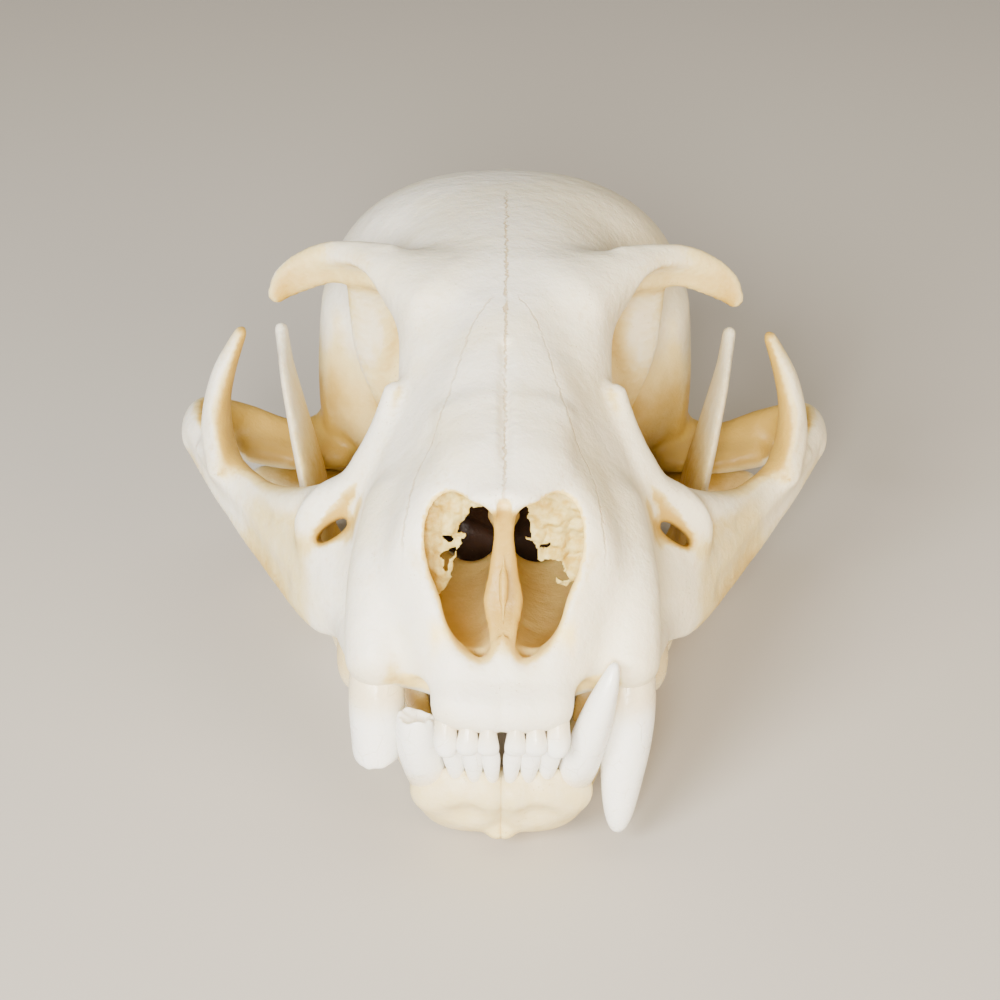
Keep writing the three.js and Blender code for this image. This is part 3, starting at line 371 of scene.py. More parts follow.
# finer forms: hollow face of the brow, dents of snout and cheek, plate in the nose, small holes
browHollow = ball([22.5, 55.4, 36.8], [8.2, 3.6, 2.9], 0, 16)
noseGroove = limb([[0, 12, 27.9, 0.5, 1], [0, 22, 31.7, 0.6, 1.2], [0, 34, 36.9, 0.6, 1.2]])
snoutHollow = limb([[8.6, 38, 40.4, 3, 3], [13, 32, 35, 3.4, 3.4], [17.8, 27, 28.6, 3.6, 3.6],
                    [22.4, 22.6, 23, 3, 3]])
cheekTrough = limb([[45.4, 66, 9.4, 1.4, 1.4], [42.4, 58.4, 7.6, 1.8, 1.8], [38.2, 51, 5.6, 2, 2],
                    [33.8, 44, 3.8, 2, 2], [30, 36.6, 2.4, 1.8, 1.8]])
archGroove = limb([[41.4, 57, 17.2, 0.8, 0.8], [39.2, 53.5, 12.9, 0.9, 0.9], [36.2, 50.6, 10.4, 0.9, 0.9],
                   [33.8, 46.5, 9.8, 0.8, 0.8], [31.5, 43.2, 9.2, 0.6, 0.6]])
canineGap = ball([9.9, 8, -1.2], [2.3, 3.4, 4.8])
septum = limb([[0, 12.4, 25.6, 1.3, 1.3], [0, 13.6, 19.6, 1.2, 1.3], [0, 13.2, 15.2, 1.8, 1.3],
               [0, 12, 12.2, 2.5, 1.4], [0, 9.8, 9.6, 1.8, 1.4], [0, 7.6, 7.2, 1.2, 1.2]], (0, 1, 0))
septumTrough = limb([[0, 10.9, 25, 0.8, 0.7], [0, 12.1, 19.6, 0.7, 0.7], [0, 11.6, 15.2, 1.3, 0.7],
                     [0, 10.3, 12.4, 1.9, 0.7], [0, 8.2, 10, 1.2, 0.6]], (0, 1, 0))
eyeCanal = limb([[13, 66, 17.4, 1.7, 1.8], [9.6, 74, 15.4, 1.7, 1.8]])
palateHole = limb([[3.4, 7.6, -3, 1.1, 1.7], [3.2, 10.4, 6, 1.1, 1.7]], (0, 1, 0))
neckHole = ball([14.2, 105, -1.2], [1.8, 2.6, 2.4])

craniumSteps = [
    *join(6, vault),
    *join(4, base),
    *join(3, muzzle, canineRoot),
    *join(2, nasalBones, incisorBar),
    *cut(2, eyeSocket),
    *join(4, brow),
    *join(1, browEdge),
    *join(2.2, eyeRim, cheekBone),
    *join(2.6, eyeCrest),
    *join(3, templeWall, templeBack),
    *join(2.4, arch),
    *join(1.4, rimEdge),
    *join(2, toothRidge),
    *join(3, cheekWeb),
    *join(2, jawRoof, jawStop),
    *join(2.5, earCapsule, mastoid, earRim),
    *join(3, neckCrest, topCrest),
    *join(2, neckJoint, throatWing, throatRoof),
    *cut(1, browHollow),
    *cut(4, snoutHollow),
    *cut(2, cheekTrough),
    *cut(1.6, archGroove),
    *cut(2, cheekScoop),
    *cut(1.4, canineGap),
    *cut(1, nostril, airway, innerNose, cheekHole, spineHole, earHole),
    *join(0.6, septum),
    *cut(0.4, septumTrough),
    *cut(0.8, noseGroove, eyeCanal, palateHole, neckHole),
    *cut(1.5, palateVault),
    *cut(0.6, hingeRoll(0.6)),
]

# One half of the lower jaw. The halves meet at the chin, where x is "gap".
jaw = {"coronoidTop": 25.3, "gap": -0.12, "grain": 0.45, "faces": 90000}
jawSteps = [
    *join(3,
          limb([[2.6, 11, -13.2, 3.4, 4.6], [7.2, 14, -13.2, 3, 5.4], [10.2, 22, -12.6, 2.7, 5.8],
                [13.6, 33, -12, 2.7, 5.8], [16.8, 45, -11.6, 2.7, 5.6], [20.6, 57, -10.4, 2.6, 5.6],
                [24.2, 67, -9, 2, 5.4]]),
          limb([[25.2, 66, -7, 1.9, 10], [26.6, 67, 4, 1.5, 9.4], [28.7, 69.5, 12.6, 1.15, 6.8],
                [30.5, 72.4, 19.8, 0.85, 4.2], [31.3, 74.4, jaw["coronoidTop"] - 1, 0.9, 1.8]], (0, 1, 0))),
    *join(2,
          limb([[1.4, 8, -11.2, 2.6, 2.8], [2, 10.6, -14, 3.4, 3], [2, 13.6, -16.8, 3.6, 2.6]],
               (0, 1, 0)),
          limb([[5.4, 8.6, -11.2, 2.8, 2.8], [5, 11.4, -14.2, 3.2, 3.2], [3.6, 15, -16.8, 3.4, 2.8]],
               (0, 1, 0)),
          limb([[8.4, 9.6, -12, 2.7, 2.9], [7.2, 12.6, -14.2, 3, 3.4], [6, 16.6, -15.8, 2.8, 3]],
               (0, 1, 0)),
          limb([[25.4, 68, -8.6, 1.8, 5], [28.4, 78, -4, 1.7, 3.4]]),
          hingeRoll(0),
          limb([[25, 68, -10.6, 1.9, 3.6], [26.4, 78, -11, 1.7, 2.4], [26.6, 86.2, -11.3, 1.5, 1.8]])),
    *join(1, limb([[2.3, 7.8, -10.6, 0.7, 0.7], [2.35, 6.9, -8.2, 0.4, 0.4]]),
          limb([[4.45, 8, -10.6, 0.7, 0.7], [4.5, 7.1, -8.2, 0.4, 0.4]]),
          limb([[6.7, 8.6, -10.6, 0.7, 0.7], [6.8, 7.7, -8.4, 0.4, 0.4]])),
    *cut(1.5, ball([30.6, 64, -3], [4, 11, 6])),
    *cut(1.4, ball([4.4, 5.4, -14.4], [2.4, 2, 1.8])),
    *join(1, ball([0.4, 9.4, -17.6], [1.4, 1.4, 1])),
    *cut(0.6, limb([[10.6, 15.4, -13.6, 0.8, 0.7], [7, 19, -14, 0.7, 0.6]])),
    *cut(0.6, limb([[13.2, 21.6, -13.8, 0.7, 0.6], [9.4, 25, -13.6, 0.6, 0.5]])),
]


made = []  # the visible pieces


def pieceFrom(name, points, faces, node):
    mesh = bpy.data.meshes.new(name)
    mesh.from_pydata(points.tolist(), [], faces.tolist())
    mesh.update()
    piece = bpy.data.objects.new(name, mesh)
    bpy.context.collection.objects.link(piece)
    claim(piece, node)
    return piece


def claim(piece, node):
    made.append(piece)
    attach(piece, "root")
    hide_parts(node)


def only(piece):
    bpy.ops.object.select_all(action="DESELECT")
    piece.select_set(True)
    bpy.context.view_layer.objects.active = piece


def applied(piece, kind, **settings):
    only(piece)
    modifier = piece.modifiers.new(kind.title(), kind)
    for key, value in settings.items():
        setattr(modifier, key, value)
    bpy.ops.object.modifier_apply(modifier=modifier.name)


def thinTo(piece, faces):
    count = sum(len(p.vertices) - 2 for p in piece.data.polygons)
    if count > faces:
        applied(piece, "DECIMATE", ratio=faces / count)


def noteFloats(piece, name, values):
    layer = piece.data.attributes.new(name, "FLOAT", "POINT")
    layer.data.foreach_set("value", np.asarray(values, np.float32))


# Notes on each point where painted shade and painted light make the bone yellower or darker. "facing" is
# the point's normal.
def noteShade(piece, place, facing, field, axes):
    x, y, z = place.T
    ahead, rise = facing[:, 1], facing[:, 2]
    outward = facing[:, 0] * np.sign(x)
    x = np.abs(x)
    isJaw = "jaw" in piece.name

    # painted shade where the bone is shut in widely or in a crease, and painted glow where it is thin
    wide = smooth(shelterOf(place, facing, field, axes, (2.5, 5, 8, 11)), 0.1, 0.6)
    creaseShade = smooth(shelterOf(place, facing, field, axes, (0.7, 1.4)), 0.15, 0.7)
    thin = smooth(fieldAt(place - facing * 2.4, field, axes, 0), -1.3, 0.6)

    # painted shade and warm bounce light on the inner faces of the cheek arches, by which way they face
    inner = np.clip(0.34 + 0.35 * rise - 0.8 * outward - 0.6 * ahead * smooth(y, 66, 74), 0, 1)
    cheek = smooth(x, 19, 30) * inner * smooth(z, 46, 40)

    # painted warm bounce light in the shade inside the nose, with its floor
    noseFloor = smooth(y, 6, 8) * smooth(x, 9, 8) * smooth(z, 12, 10) * smooth(rise, 0, 0.3)
    nose = smooth(x, 12.5, 11) * np.maximum(smooth(wide, 0.05, 0.3), noseFloor)
    nose *= smooth(y, 5.8, 7.6) * smooth(y, 52, 50) * smooth(z, -1, 1.5) * smooth(z, 27, 25)

    # painted shade is kept off the nose's back and its lower rim; a painted warm glow lies inside the rim
    ridge = smooth(x, 3, 2) * smooth(z, 23, 25)
    creaseShade, wide, thin = [v * (1 - 0.9 * ridge) for v in (creaseShade, wide, thin)]
    rim = smooth(x, 12, 10) * smooth(z, 9, 5) * smooth(y, 15, 11) * (z > -3)
    glow = smooth(x, 8.5, 5.5) * smooth(x, 1, 3) * smooth(y, 5, 8) * smooth(y, 15, 12)
    glow *= smooth(z, 4, 6) * smooth(z, 10, 8)

    # painted shade on the side wall of the brain case, and less painted shade on the top of the eye socket
    templeShade = smooth(x, 29, 27) * smooth(x, 11, 14) * smooth(y, 58, 64) * smooth(y, 88, 80)
    templeShade *= smooth(z, 26, 12)
    wide *= (1 - 0.85 * rim) * (1 - 0.65 * smooth(z, 16, 30) * smooth(y, 36, 42) * smooth(y, 84, 76))
    creaseShade *= 1 - 0.8 * rim

    # the far end of the nose, painted dark as shadow
    deep = smooth(x, 10, 9) * smooth(y, 47, 49) * smooth(y, 66, 63) * smooth(z, 16, 13)
    deep *= smooth(ahead, 0.5, -0.1) * (1 - smooth(outward, 0.1, 0.45) * smooth(x, 5.5, 7))
    deep *= np.maximum(smooth(wide, 0.02, 0.2), smooth(y, 50, 53) * smooth(ahead, -0.1, -0.4))
    deep *= smooth(z, -6, -4)

    # painted warm shade on the plate between the nostrils, where the nose's painted light is taken away
    plate = smooth(x, 3.2, 2) * smooth(y, 17, 15) * smooth(z, 6.5, 10.5) * smooth(y - 0.42 * z, 10.5, 8.5)
    plate *= smooth(z, 25, 23.5) * np.maximum(smooth(x, 1.9, 1.2), smooth(z, 22, 20))
    nose *= 1 - plate

    # less painted glow high at the front; painted shade on the brow's face, the chin, the temple and the
    # lower outer cheek, all summed into the painted warm shade
    thin *= 1 - 0.8 * smooth(y, 46, 40) * smooth(z, 17, 21)
    share = 0.6 if isJaw else 1
    browFace = smooth(x, 15, 22) * smooth(z, 28, 33) * smooth(y, 50, 55) * smooth(y, 66, 62)
    chin = smooth(y, 34, 22) if isJaw else 0
    outer = smooth(x, 23, 26) * smooth(x, 39, 34) * smooth(y, 28, 33) * smooth(y, 52, 46)
    outer *= smooth(z, 13, 9)
    paintedWarmShade = (wide * 0.95 + cheek) * share + thin * (share - 0.4) * 0.7 + plate
    paintedWarmShade = paintedWarmShade + browFace * 0.14 + chin * 0.32 + glow * 0.25 + templeShade * 0.72 + outer * 0.4
    # less painted shade on the jaw's upper parts
    if isJaw:
        paintedWarmShade *= 1 - 0.75 * smooth(z, 2, 14)
    for name, values in (("paintedWarmShade", np.clip(paintedWarmShade, 0, 1)), ("nose", nose), ("creaseShade", creaseShade), ("deep", deep)):
        noteFloats(piece, name, values)


def bonePiece(name, field, axes, faces, node):
    points, quads = skinOf(field, axes)
    piece = pieceFrom(name, toRow(points), quads, node)
    applied(piece, "SMOOTH", factor=0.5, iterations=2)
    thinTo(piece, faces)
    mesh = piece.data
    count = len(mesh.vertices)
    place, facing = np.empty(count * 3), np.empty(count * 3)
    mesh.vertices.foreach_get("co", place)
    mesh.vertices.foreach_get("normal", facing)
    a = math.radians(pose["tilt"])
    turn = np.array([[1, 0, 0], [0, math.cos(a), -math.sin(a)], [0, math.sin(a), math.cos(a)]])
    place = (place.reshape(-1, 3) * 1000 - np.array(pose["shift"])) @ turn.T
    facing = facing.reshape(-1, 3) @ turn.T
    noteShade(piece, place, facing, field, axes)
    only(piece)
    bpy.ops.object.shade_smooth()
    return piece


coarser = 1
grain = cranium["grain"] * coarser
field, axes = mirrored(*fieldOf(craniumSteps, grain))
skull = bonePiece("craniumBone", field, axes, cranium["faces"], "cranium")
print("cranium", len(skull.data.polygons))

grain = jaw["grain"] * coarser
half, halfAxes = fieldOf(jawSteps, grain)
half = np.maximum(half, (jaw["gap"] - halfAxes[0])[:, None, None])
jawLeft = bonePiece("jawBoneLeft", half, halfAxes, jaw["faces"], "jaw_left")
half, halfAxes = half[::-1], [-halfAxes[0][::-1], halfAxes[1], halfAxes[2]]
jawRight = bonePiece("jawBoneRight", half, halfAxes, jaw["faces"], "jaw_right")
print("jaws", len(jawLeft.data.polygons), len(jawRight.data.polygons))


# A tooth is drawn out ring by ring from a circle. Each station is x, y, z, half width and half depth,
# from the root to the tip. "ragged" has the heights where a break begins and where it is roughest.
tooth = {"sides": 20, "levels": 2, "roughness": 0.7}


def drawnTooth(name, stations, node, side, sides=tooth["sides"], rise="z", ragged=None):
    x, y, z, wide, deep = stations[0]
    turn = (0, 0, 0) if rise == "z" else (math.pi / 2, 0, 0)
    bpy.ops.mesh.primitive_circle_add(vertices=sides, radius=1, fill_type="NGON", location=(0, 0, 0),
                                      rotation=turn)
    piece = bpy.context.object
    piece.name = name
    piece.data.name = name
    bpy.ops.object.transform_apply(location=True, rotation=True, scale=True)
    bpy.ops.object.mode_set(mode="EDIT")
    bpy.ops.mesh.select_all(action="SELECT")
    grow = (lambda w, d: (w, d, 1)) if rise == "z" else (lambda w, d: (w, 1, d))
    bpy.ops.transform.resize(value=grow(wide, deep), center_override=(0, 0, 0))
    bpy.ops.transform.translate(value=(x, y, z))
    last = stations[0]
    for station in stations[1:]:
        move = [station[i] - last[i] for i in range(3)]
        bpy.ops.mesh.extrude_region_move(TRANSFORM_OT_translate={"value": move})
        bpy.ops.transform.resize(value=grow(station[3] / last[3], station[4] / last[4]),
                                 center_override=station[:3])
        last = station
    bpy.ops.mesh.select_all(action="SELECT")
    bpy.ops.mesh.normals_make_consistent(inside=False)
    bpy.ops.object.mode_set(mode="OBJECT")
    for vertex in piece.data.vertices:
        vertex.co.x *= side
    if side < 0:
        piece.data.flip_normals()
    applied(piece, "SUBSURF", levels=tooth["levels"])
    spots = np.empty(len(piece.data.vertices) * 3)
    piece.data.vertices.foreach_get("co", spots)
    if ragged:
        x, y, z = spots.reshape(-1, 3).T
        spots[2::3] += smooth(z, *ragged) * ripple(x * 0.8, y * 0.8, 5) * tooth["roughness"]
    piece.data.vertices.foreach_set("co", toRow(spots).ravel())
    bpy.ops.object.shade_smooth()
    claim(piece, node)


# Thin torn sheets inside the nose. Outlines and holes are x and z points in millimetres, seen along the
# nose, and the sheets stand at y "depth".
noseSheets = {
    "grain": 0.14,
    "thick": 0.28,
    "depth": 16.0,
    "right": {
        "edge": [(-1.88, 21.6), (-2.25, 22.2), (-2.6, 22.5), (-3.85, 22.3), (-4.4, 21.5), (-4.6, 20.8),
                 (-5.0, 20.5), (-5.3, 19.8), (-5.5, 19.0), (-5.4, 18.6), (-5.1, 19.0), (-4.5, 19.2),
                 (-4.3, 18.7), (-4.75, 18.2), (-5.1, 18.0), (-5.0, 17.7), (-5.2, 17.3), (-5.5, 16.9),
                 (-5.75, 15.6), (-6.0, 14.4), (-6.5, 12.6), (-6.9, 12.0), (-7.5, 11.3), (-8.2, 10.9),
                 (-9.2, 11.6), (-10.8, 12.3), (-11.4, 14), (-11.4, 20), (-10.7, 24.2), (-8.7, 24.8),
                 (-2.4, 24.9), (-1.6, 24)],
        "holes": [[(-7.3, 18.6), (-7.0, 18.85), (-6.6, 18.85), (-6.2, 18.5), (-5.9, 18.2), (-6.2, 17.9),
                   (-6.7, 18.2)],
                  [(-7.6, 16.2), (-7.4, 16.9), (-6.9, 17.0), (-5.9, 17.2), (-5.9, 16.7), (-6.3, 15.8),
                   (-6.7, 14.8), (-6.9, 14.3), (-7.2, 14.5), (-7.0, 15.2), (-6.8, 16)]],
    },
    "left": {
        "edge": [(0.25, 21.6), (0.6, 22.0), (1.2, 22.6), (2.1, 22.9), (2.6, 22.8), (2.8, 22.3),
                 (2.75, 21.5), (2.5, 21.1), (2.8, 20.5), (3.1, 20.1), (3.3, 19.4), (3.1, 19.0),
                 (2.5, 18.8), (2.4, 18.5), (3.3, 18.4), (3.6, 17.8), (3.75, 17.4), (3.85, 16.5),
                 (3.9, 15.8), (4.5, 15.4), (5.9, 15.7), (6.9, 15.5), (7.1, 14.7), (7.4, 13.9),
                 (7.8, 13.3), (7.5, 13.1), (6.9, 13.5), (6.3, 13.7), (6.4, 13.1), (6.7, 12.6),
                 (7.3, 12.3), (8.2, 12.9), (9.1, 13.3), (10.6, 13.9), (11.2, 15), (11.2, 20),
                 (10.2, 24.2), (8.4, 25), (1.2, 24.9), (0.2, 24.1)],
        "holes": [[(4.3, 17.6), (4.6, 17.45), (5.0, 17.5), (5.6, 17.8), (5.4, 17.4), (5.0, 17.0),
                   (4.5, 17.1)],
                  [(3.0, 23.4), (3.3, 23.4), (3.55, 23.2), (3.4, 22.9), (3.1, 22.9)]],
    },
}


def insideOf(outline, x, z):
    inside = np.zeros(len(x), bool)
    for (ax, az), (bx, bz) in zip(outline, outline[1:] + outline[:1]):
        if az != bz:
            inside ^= ((az > z) != (bz > z)) & (x < (bx - ax) * (z - az) / (bz - az) + ax)
    return inside


def ripple(x, z, seed):
    rng = np.random.default_rng(seed)
    total = np.zeros(len(x))
    for wave in (7.0, 4.0, 2.4, 1.5, 0.9):
        for _ in range(3):
            turn, start = rng.uniform(0, 2 * math.pi, 2)
            total += wave * np.sin((x * math.cos(turn) + z * math.sin(turn)) * 2 * math.pi / wave + start)
    return total / 24


# The seed sets how the sheet waves and how its edge wanders.
def tornSheet(name, shape, seed):
    edge = np.array(shape["edge"])
    low, high = edge.min(0), edge.max(0)
    grain = noseSheets["grain"] * coarser
    columns, rows = [int(math.ceil((high[i] - low[i]) / grain)) for i in (0, 1)]
    middle = (low + high) / 2
    bpy.ops.mesh.primitive_grid_add(x_subdivisions=columns, y_subdivisions=rows, size=1, location=(0, 0, 0))
    piece = bpy.context.object
    piece.name = name
    piece.data.name = name
    spots = np.empty(len(piece.data.vertices) * 3)
    piece.data.vertices.foreach_get("co", spots)
    spots = spots.reshape(-1, 3)
    x = middle[0] + spots[:, 0] * (high[0] - low[0])
    z = middle[1] + spots[:, 1] * (high[1] - low[1])
    wobble = ripple(x, z, seed)
    shiftX, shiftZ, shiftHole = [ripple(x * 3, z * 3, seed + i) for i in (1, 2, 3)]
    kept = insideOf(shape["edge"], x + shiftX * 0.25, z + shiftZ * 0.25)
    for hole in shape["holes"]:
        kept &= ~insideOf(hole, x + shiftHole * 0.2, z)
    y = noseSheets["depth"] + 0.9 * wobble + 0.5 * np.abs(np.sin(z * 1.1 + x * 0.4))
    piece.data.vertices.foreach_set("co", np.stack([x, y, z], 1).ravel())
    bpy.ops.object.mode_set(mode="EDIT")
    bpy.ops.mesh.select_mode(type="VERT")
    bpy.ops.mesh.select_all(action="DESELECT")
    bpy.ops.object.mode_set(mode="OBJECT")
    for vertex, keep in zip(piece.data.vertices, kept):
        vertex.select = not keep
    bpy.ops.object.mode_set(mode="EDIT")
    bpy.ops.mesh.delete(type="VERT")
    bpy.ops.object.mode_set(mode="OBJECT")
    applied(piece, "SMOOTH", factor=0.5, iterations=2)
    applied(piece, "SOLIDIFY", thickness=noseSheets["thick"], offset=0)
    spots = np.empty(len(piece.data.vertices) * 3)
    piece.data.vertices.foreach_get("co", spots)
    piece.data.vertices.foreach_set("co", toRow(spots).ravel())
    only(piece)
    bpy.ops.object.shade_smooth()
    claim(piece, "cranium")


tornSheet("noseSheetRight", noseSheets["right"], 4)
tornSheet("noseSheetLeft", noseSheets["left"], 9)
print("nose sheets")

canineWhole = [[15.2, 15.4, 9, 2.2, 2.7], [15.2, 13.6, 4, 3.1, 3.4], [15.1, 12.2, 0.6, 3.5, 3.5],
               [15.05, 11.4, -3, 3.45, 3.4], [14.9, 10.7, -6.6, 3.15, 3.1], [14.6, 10.2, -10.4, 2.6, 2.6],
               [14.4, 9.9, -13.4, 2.2, 2.2], [14.3, 9.8, -15.8, 1.65, 1.7], [14.25, 9.8, -17.2, 1.05, 1.1],
               [14.2, 9.8, -17.7, 0.45, 0.5]]
canineBroken = canineWhole[:4] + [[15.05, 11.1, -5.4, 3.2, 3.2], [15.1, 10.8, -7.5, 3, 3],
                                  [15.1, 10.7, -8.4, 2.8, 2.8], [15.1, 10.6, -8.8, 2.4, 2.4],
                                  [15.1, 10.6, -8.4, 1, 1]]
lowerWhole = [[8, 12.8, -14.6, 1.6, 1.9], [8.6, 10.4, -11.6, 2.2, 2.4], [9.2, 8.6, -8.4, 2.5, 2.6],
              [10, 7.5, -5, 2.45, 2.6], [10.8, 6.8, -1.8, 2.25, 2.4], [11.6, 6.4, 1.4, 1.9, 2.1],
              [12.5, 6.3, 4.4, 1.3, 1.5], [13, 6.4, 6.3, 0.75, 0.8], [13.15, 6.5, 6.9, 0.35, 0.4]]
lowerBroken = [[8, 12.8, -14.6, 1.6, 1.9], [8.8, 10.4, -11.6, 2.4, 2.5], [9.4, 8.8, -8, 2.75, 2.7],
               [9.9, 7.9, -5, 2.8, 2.7], [10.1, 7.4, -2.4, 2.6, 2.4], [10.2, 7.2, -1, 2.4, 2.2],
               [10.2, 7.15, -0.6, 2, 1.9], [10.2, 7.1, -1.5, 1, 1]]
drawnTooth("upperCanineLeft", canineWhole, "upper_canine_left", 1)
drawnTooth("upperCanineRight", canineBroken, "upper_canine_right", -1, ragged=(-7, -8.2))
drawnTooth("lowerCanineLeft", lowerWhole, "lower_canine_left", 1)
drawnTooth("lowerCanineRight", lowerBroken, "lower_canine_right", -1, ragged=(-2.2, -1))

# front and cheek teeth of the left side, front one first
upperIncisors = [
    [[1.6, 4.9, 2.6, 0.9, 1.2], [1.6, 4, 0.4, 0.95, 1.2], [1.6, 3.4, -0.8, 0.95, 1.1],
     [1.6, 3, -2.2, 1.36, 1.05], [1.6, 2.9, -3.1, 1.36, 0.75], [1.6, 2.95, -3.7, 0.9, 0.35]],
    [[3.95, 5.3, 2.6, 1, 1.2], [3.95, 4.5, 0.4, 1.05, 1.3], [3.95, 3.8, -0.8, 1.05, 1.2],
     [4.05, 3.2, -2.2, 1.42, 1.15], [4.05, 3.05, -3.1, 1.38, 0.8], [4, 3.1, -3.8, 0.85, 0.35]],
    [[6.5, 6.2, 3, 1.2, 1.5], [6.6, 5.2, 0.8, 1.35, 1.6], [6.65, 4.5, -0.8, 1.35, 1.5],
     [6.65, 3.9, -2.2, 1.55, 1.35], [6.55, 3.5, -3.4, 1.35, 1], [6.4, 3.35, -4.2, 0.75, 0.45]],
]
lowerIncisors = [
    [[1.1, 8.4, -11.4, 0.8, 1.2], [1.1, 7.2, -8.8, 0.8, 1.1], [1.25, 6.2, -6.6, 1.15, 0.95],
     [1.3, 5.6, -5, 1.2, 0.7], [1.3, 5.4, -4.2, 0.9, 0.35]],
    [[3.2, 8.6, -11.4, 0.85, 1.2], [3.2, 7.4, -8.8, 0.9, 1.2], [3.4, 6.4, -6.6, 1.3, 1],
     [3.5, 5.8, -5, 1.35, 0.75], [3.5, 5.6, -4.2, 1, 0.35]],
    [[5.3, 9, -11.4, 0.95, 1.2], [5.4, 7.8, -8.6, 1, 1.2], [5.7, 6.8, -6.4, 1.4, 1.1],
     [5.85, 6.2, -4.8, 1.4, 0.8], [5.85, 6, -4, 1, 0.4]],
]
upperCheekTeeth = [
    [[17.6, 20, 0.2, 0.7, 1.4], [18, 21.4, -0.8, 1.3, 2.4], [18.5, 22.8, -1.7, 1.7, 3.2],
     [18.9, 24.4, -2.4, 1.9, 4.3], [19.1, 26, -1.7, 1.8, 3.1], [19.3, 27.6, -1.3, 1.6, 3],
     [19.4, 29.2, 0.1, 0.7, 1.3]],
    [[19.4, 29.8, 0.2, 0.9, 1.4], [19.6, 31.2, -1.4, 1.6, 3.3], [19.9, 32.6, -1.2, 1.8, 3],
     [20.4, 35, -2.7, 2, 5.4], [20.5, 37.6, -1.3, 1.8, 3.1], [20.6, 39.8, -1.9, 1.7, 4],
     [20.4, 42, -1.6, 1.6, 3.8], [19.9, 44.6, 0.2, 0.7, 1.4]],
]
lowerCheekTeeth = [
    [[9.4, 18.2, -7.4, 0.7, 1], [9.9, 19.6, -6.6, 1.1, 1.9], [10.7, 22, -5.4, 1.4, 3.3],
     [11.3, 23.8, -6.6, 1.1, 1.9], [12, 25.7, -7.4, 0.7, 1]],
    [[12.1, 26.2, -7.4, 0.8, 1], [12.6, 28, -6.4, 1.2, 1.9], [13.3, 30.6, -5, 1.5, 3.7],
     [13.8, 32.6, -6.4, 1.2, 2], [14.2, 34, -6.1, 1.1, 2], [14.6, 35.4, -7.2, 0.8, 1]],
    [[14.6, 36, -7, 0.8, 1], [15, 37.8, -5.6, 1.3, 2.9], [15.3, 39.4, -5, 1.4, 3.7],
     [15.6, 41.4, -6.2, 1.2, 2.2], [16, 43.4, -5, 1.4, 3.5], [16.3, 45, -4.7, 1.4, 3.8],
     [16.8, 47.6, -6.9, 0.8, 1.2]],
]
for side, label in ((1, "Left"), (-1, "Right")):
    half = "jaw_left" if side > 0 else "jaw_right"
    for i, stations in enumerate(upperIncisors):
        drawnTooth(f"upperIncisor{label}{i + 1}", stations, "cranium", side, 14)
    for i, stations in enumerate(lowerIncisors):
        drawnTooth(f"lowerIncisor{label}{i + 1}", stations, half, side, 12)
    for i, stations in enumerate(upperCheekTeeth):
        drawnTooth(f"upperCheekTooth{label}{i + 1}", stations, "cranium", side, 16, "y")
    for i, stations in enumerate(lowerCheekTeeth):
        drawnTooth(f"lowerCheekTooth{label}{i + 1}", stations, half, side, 16, "y")
print("teeth")


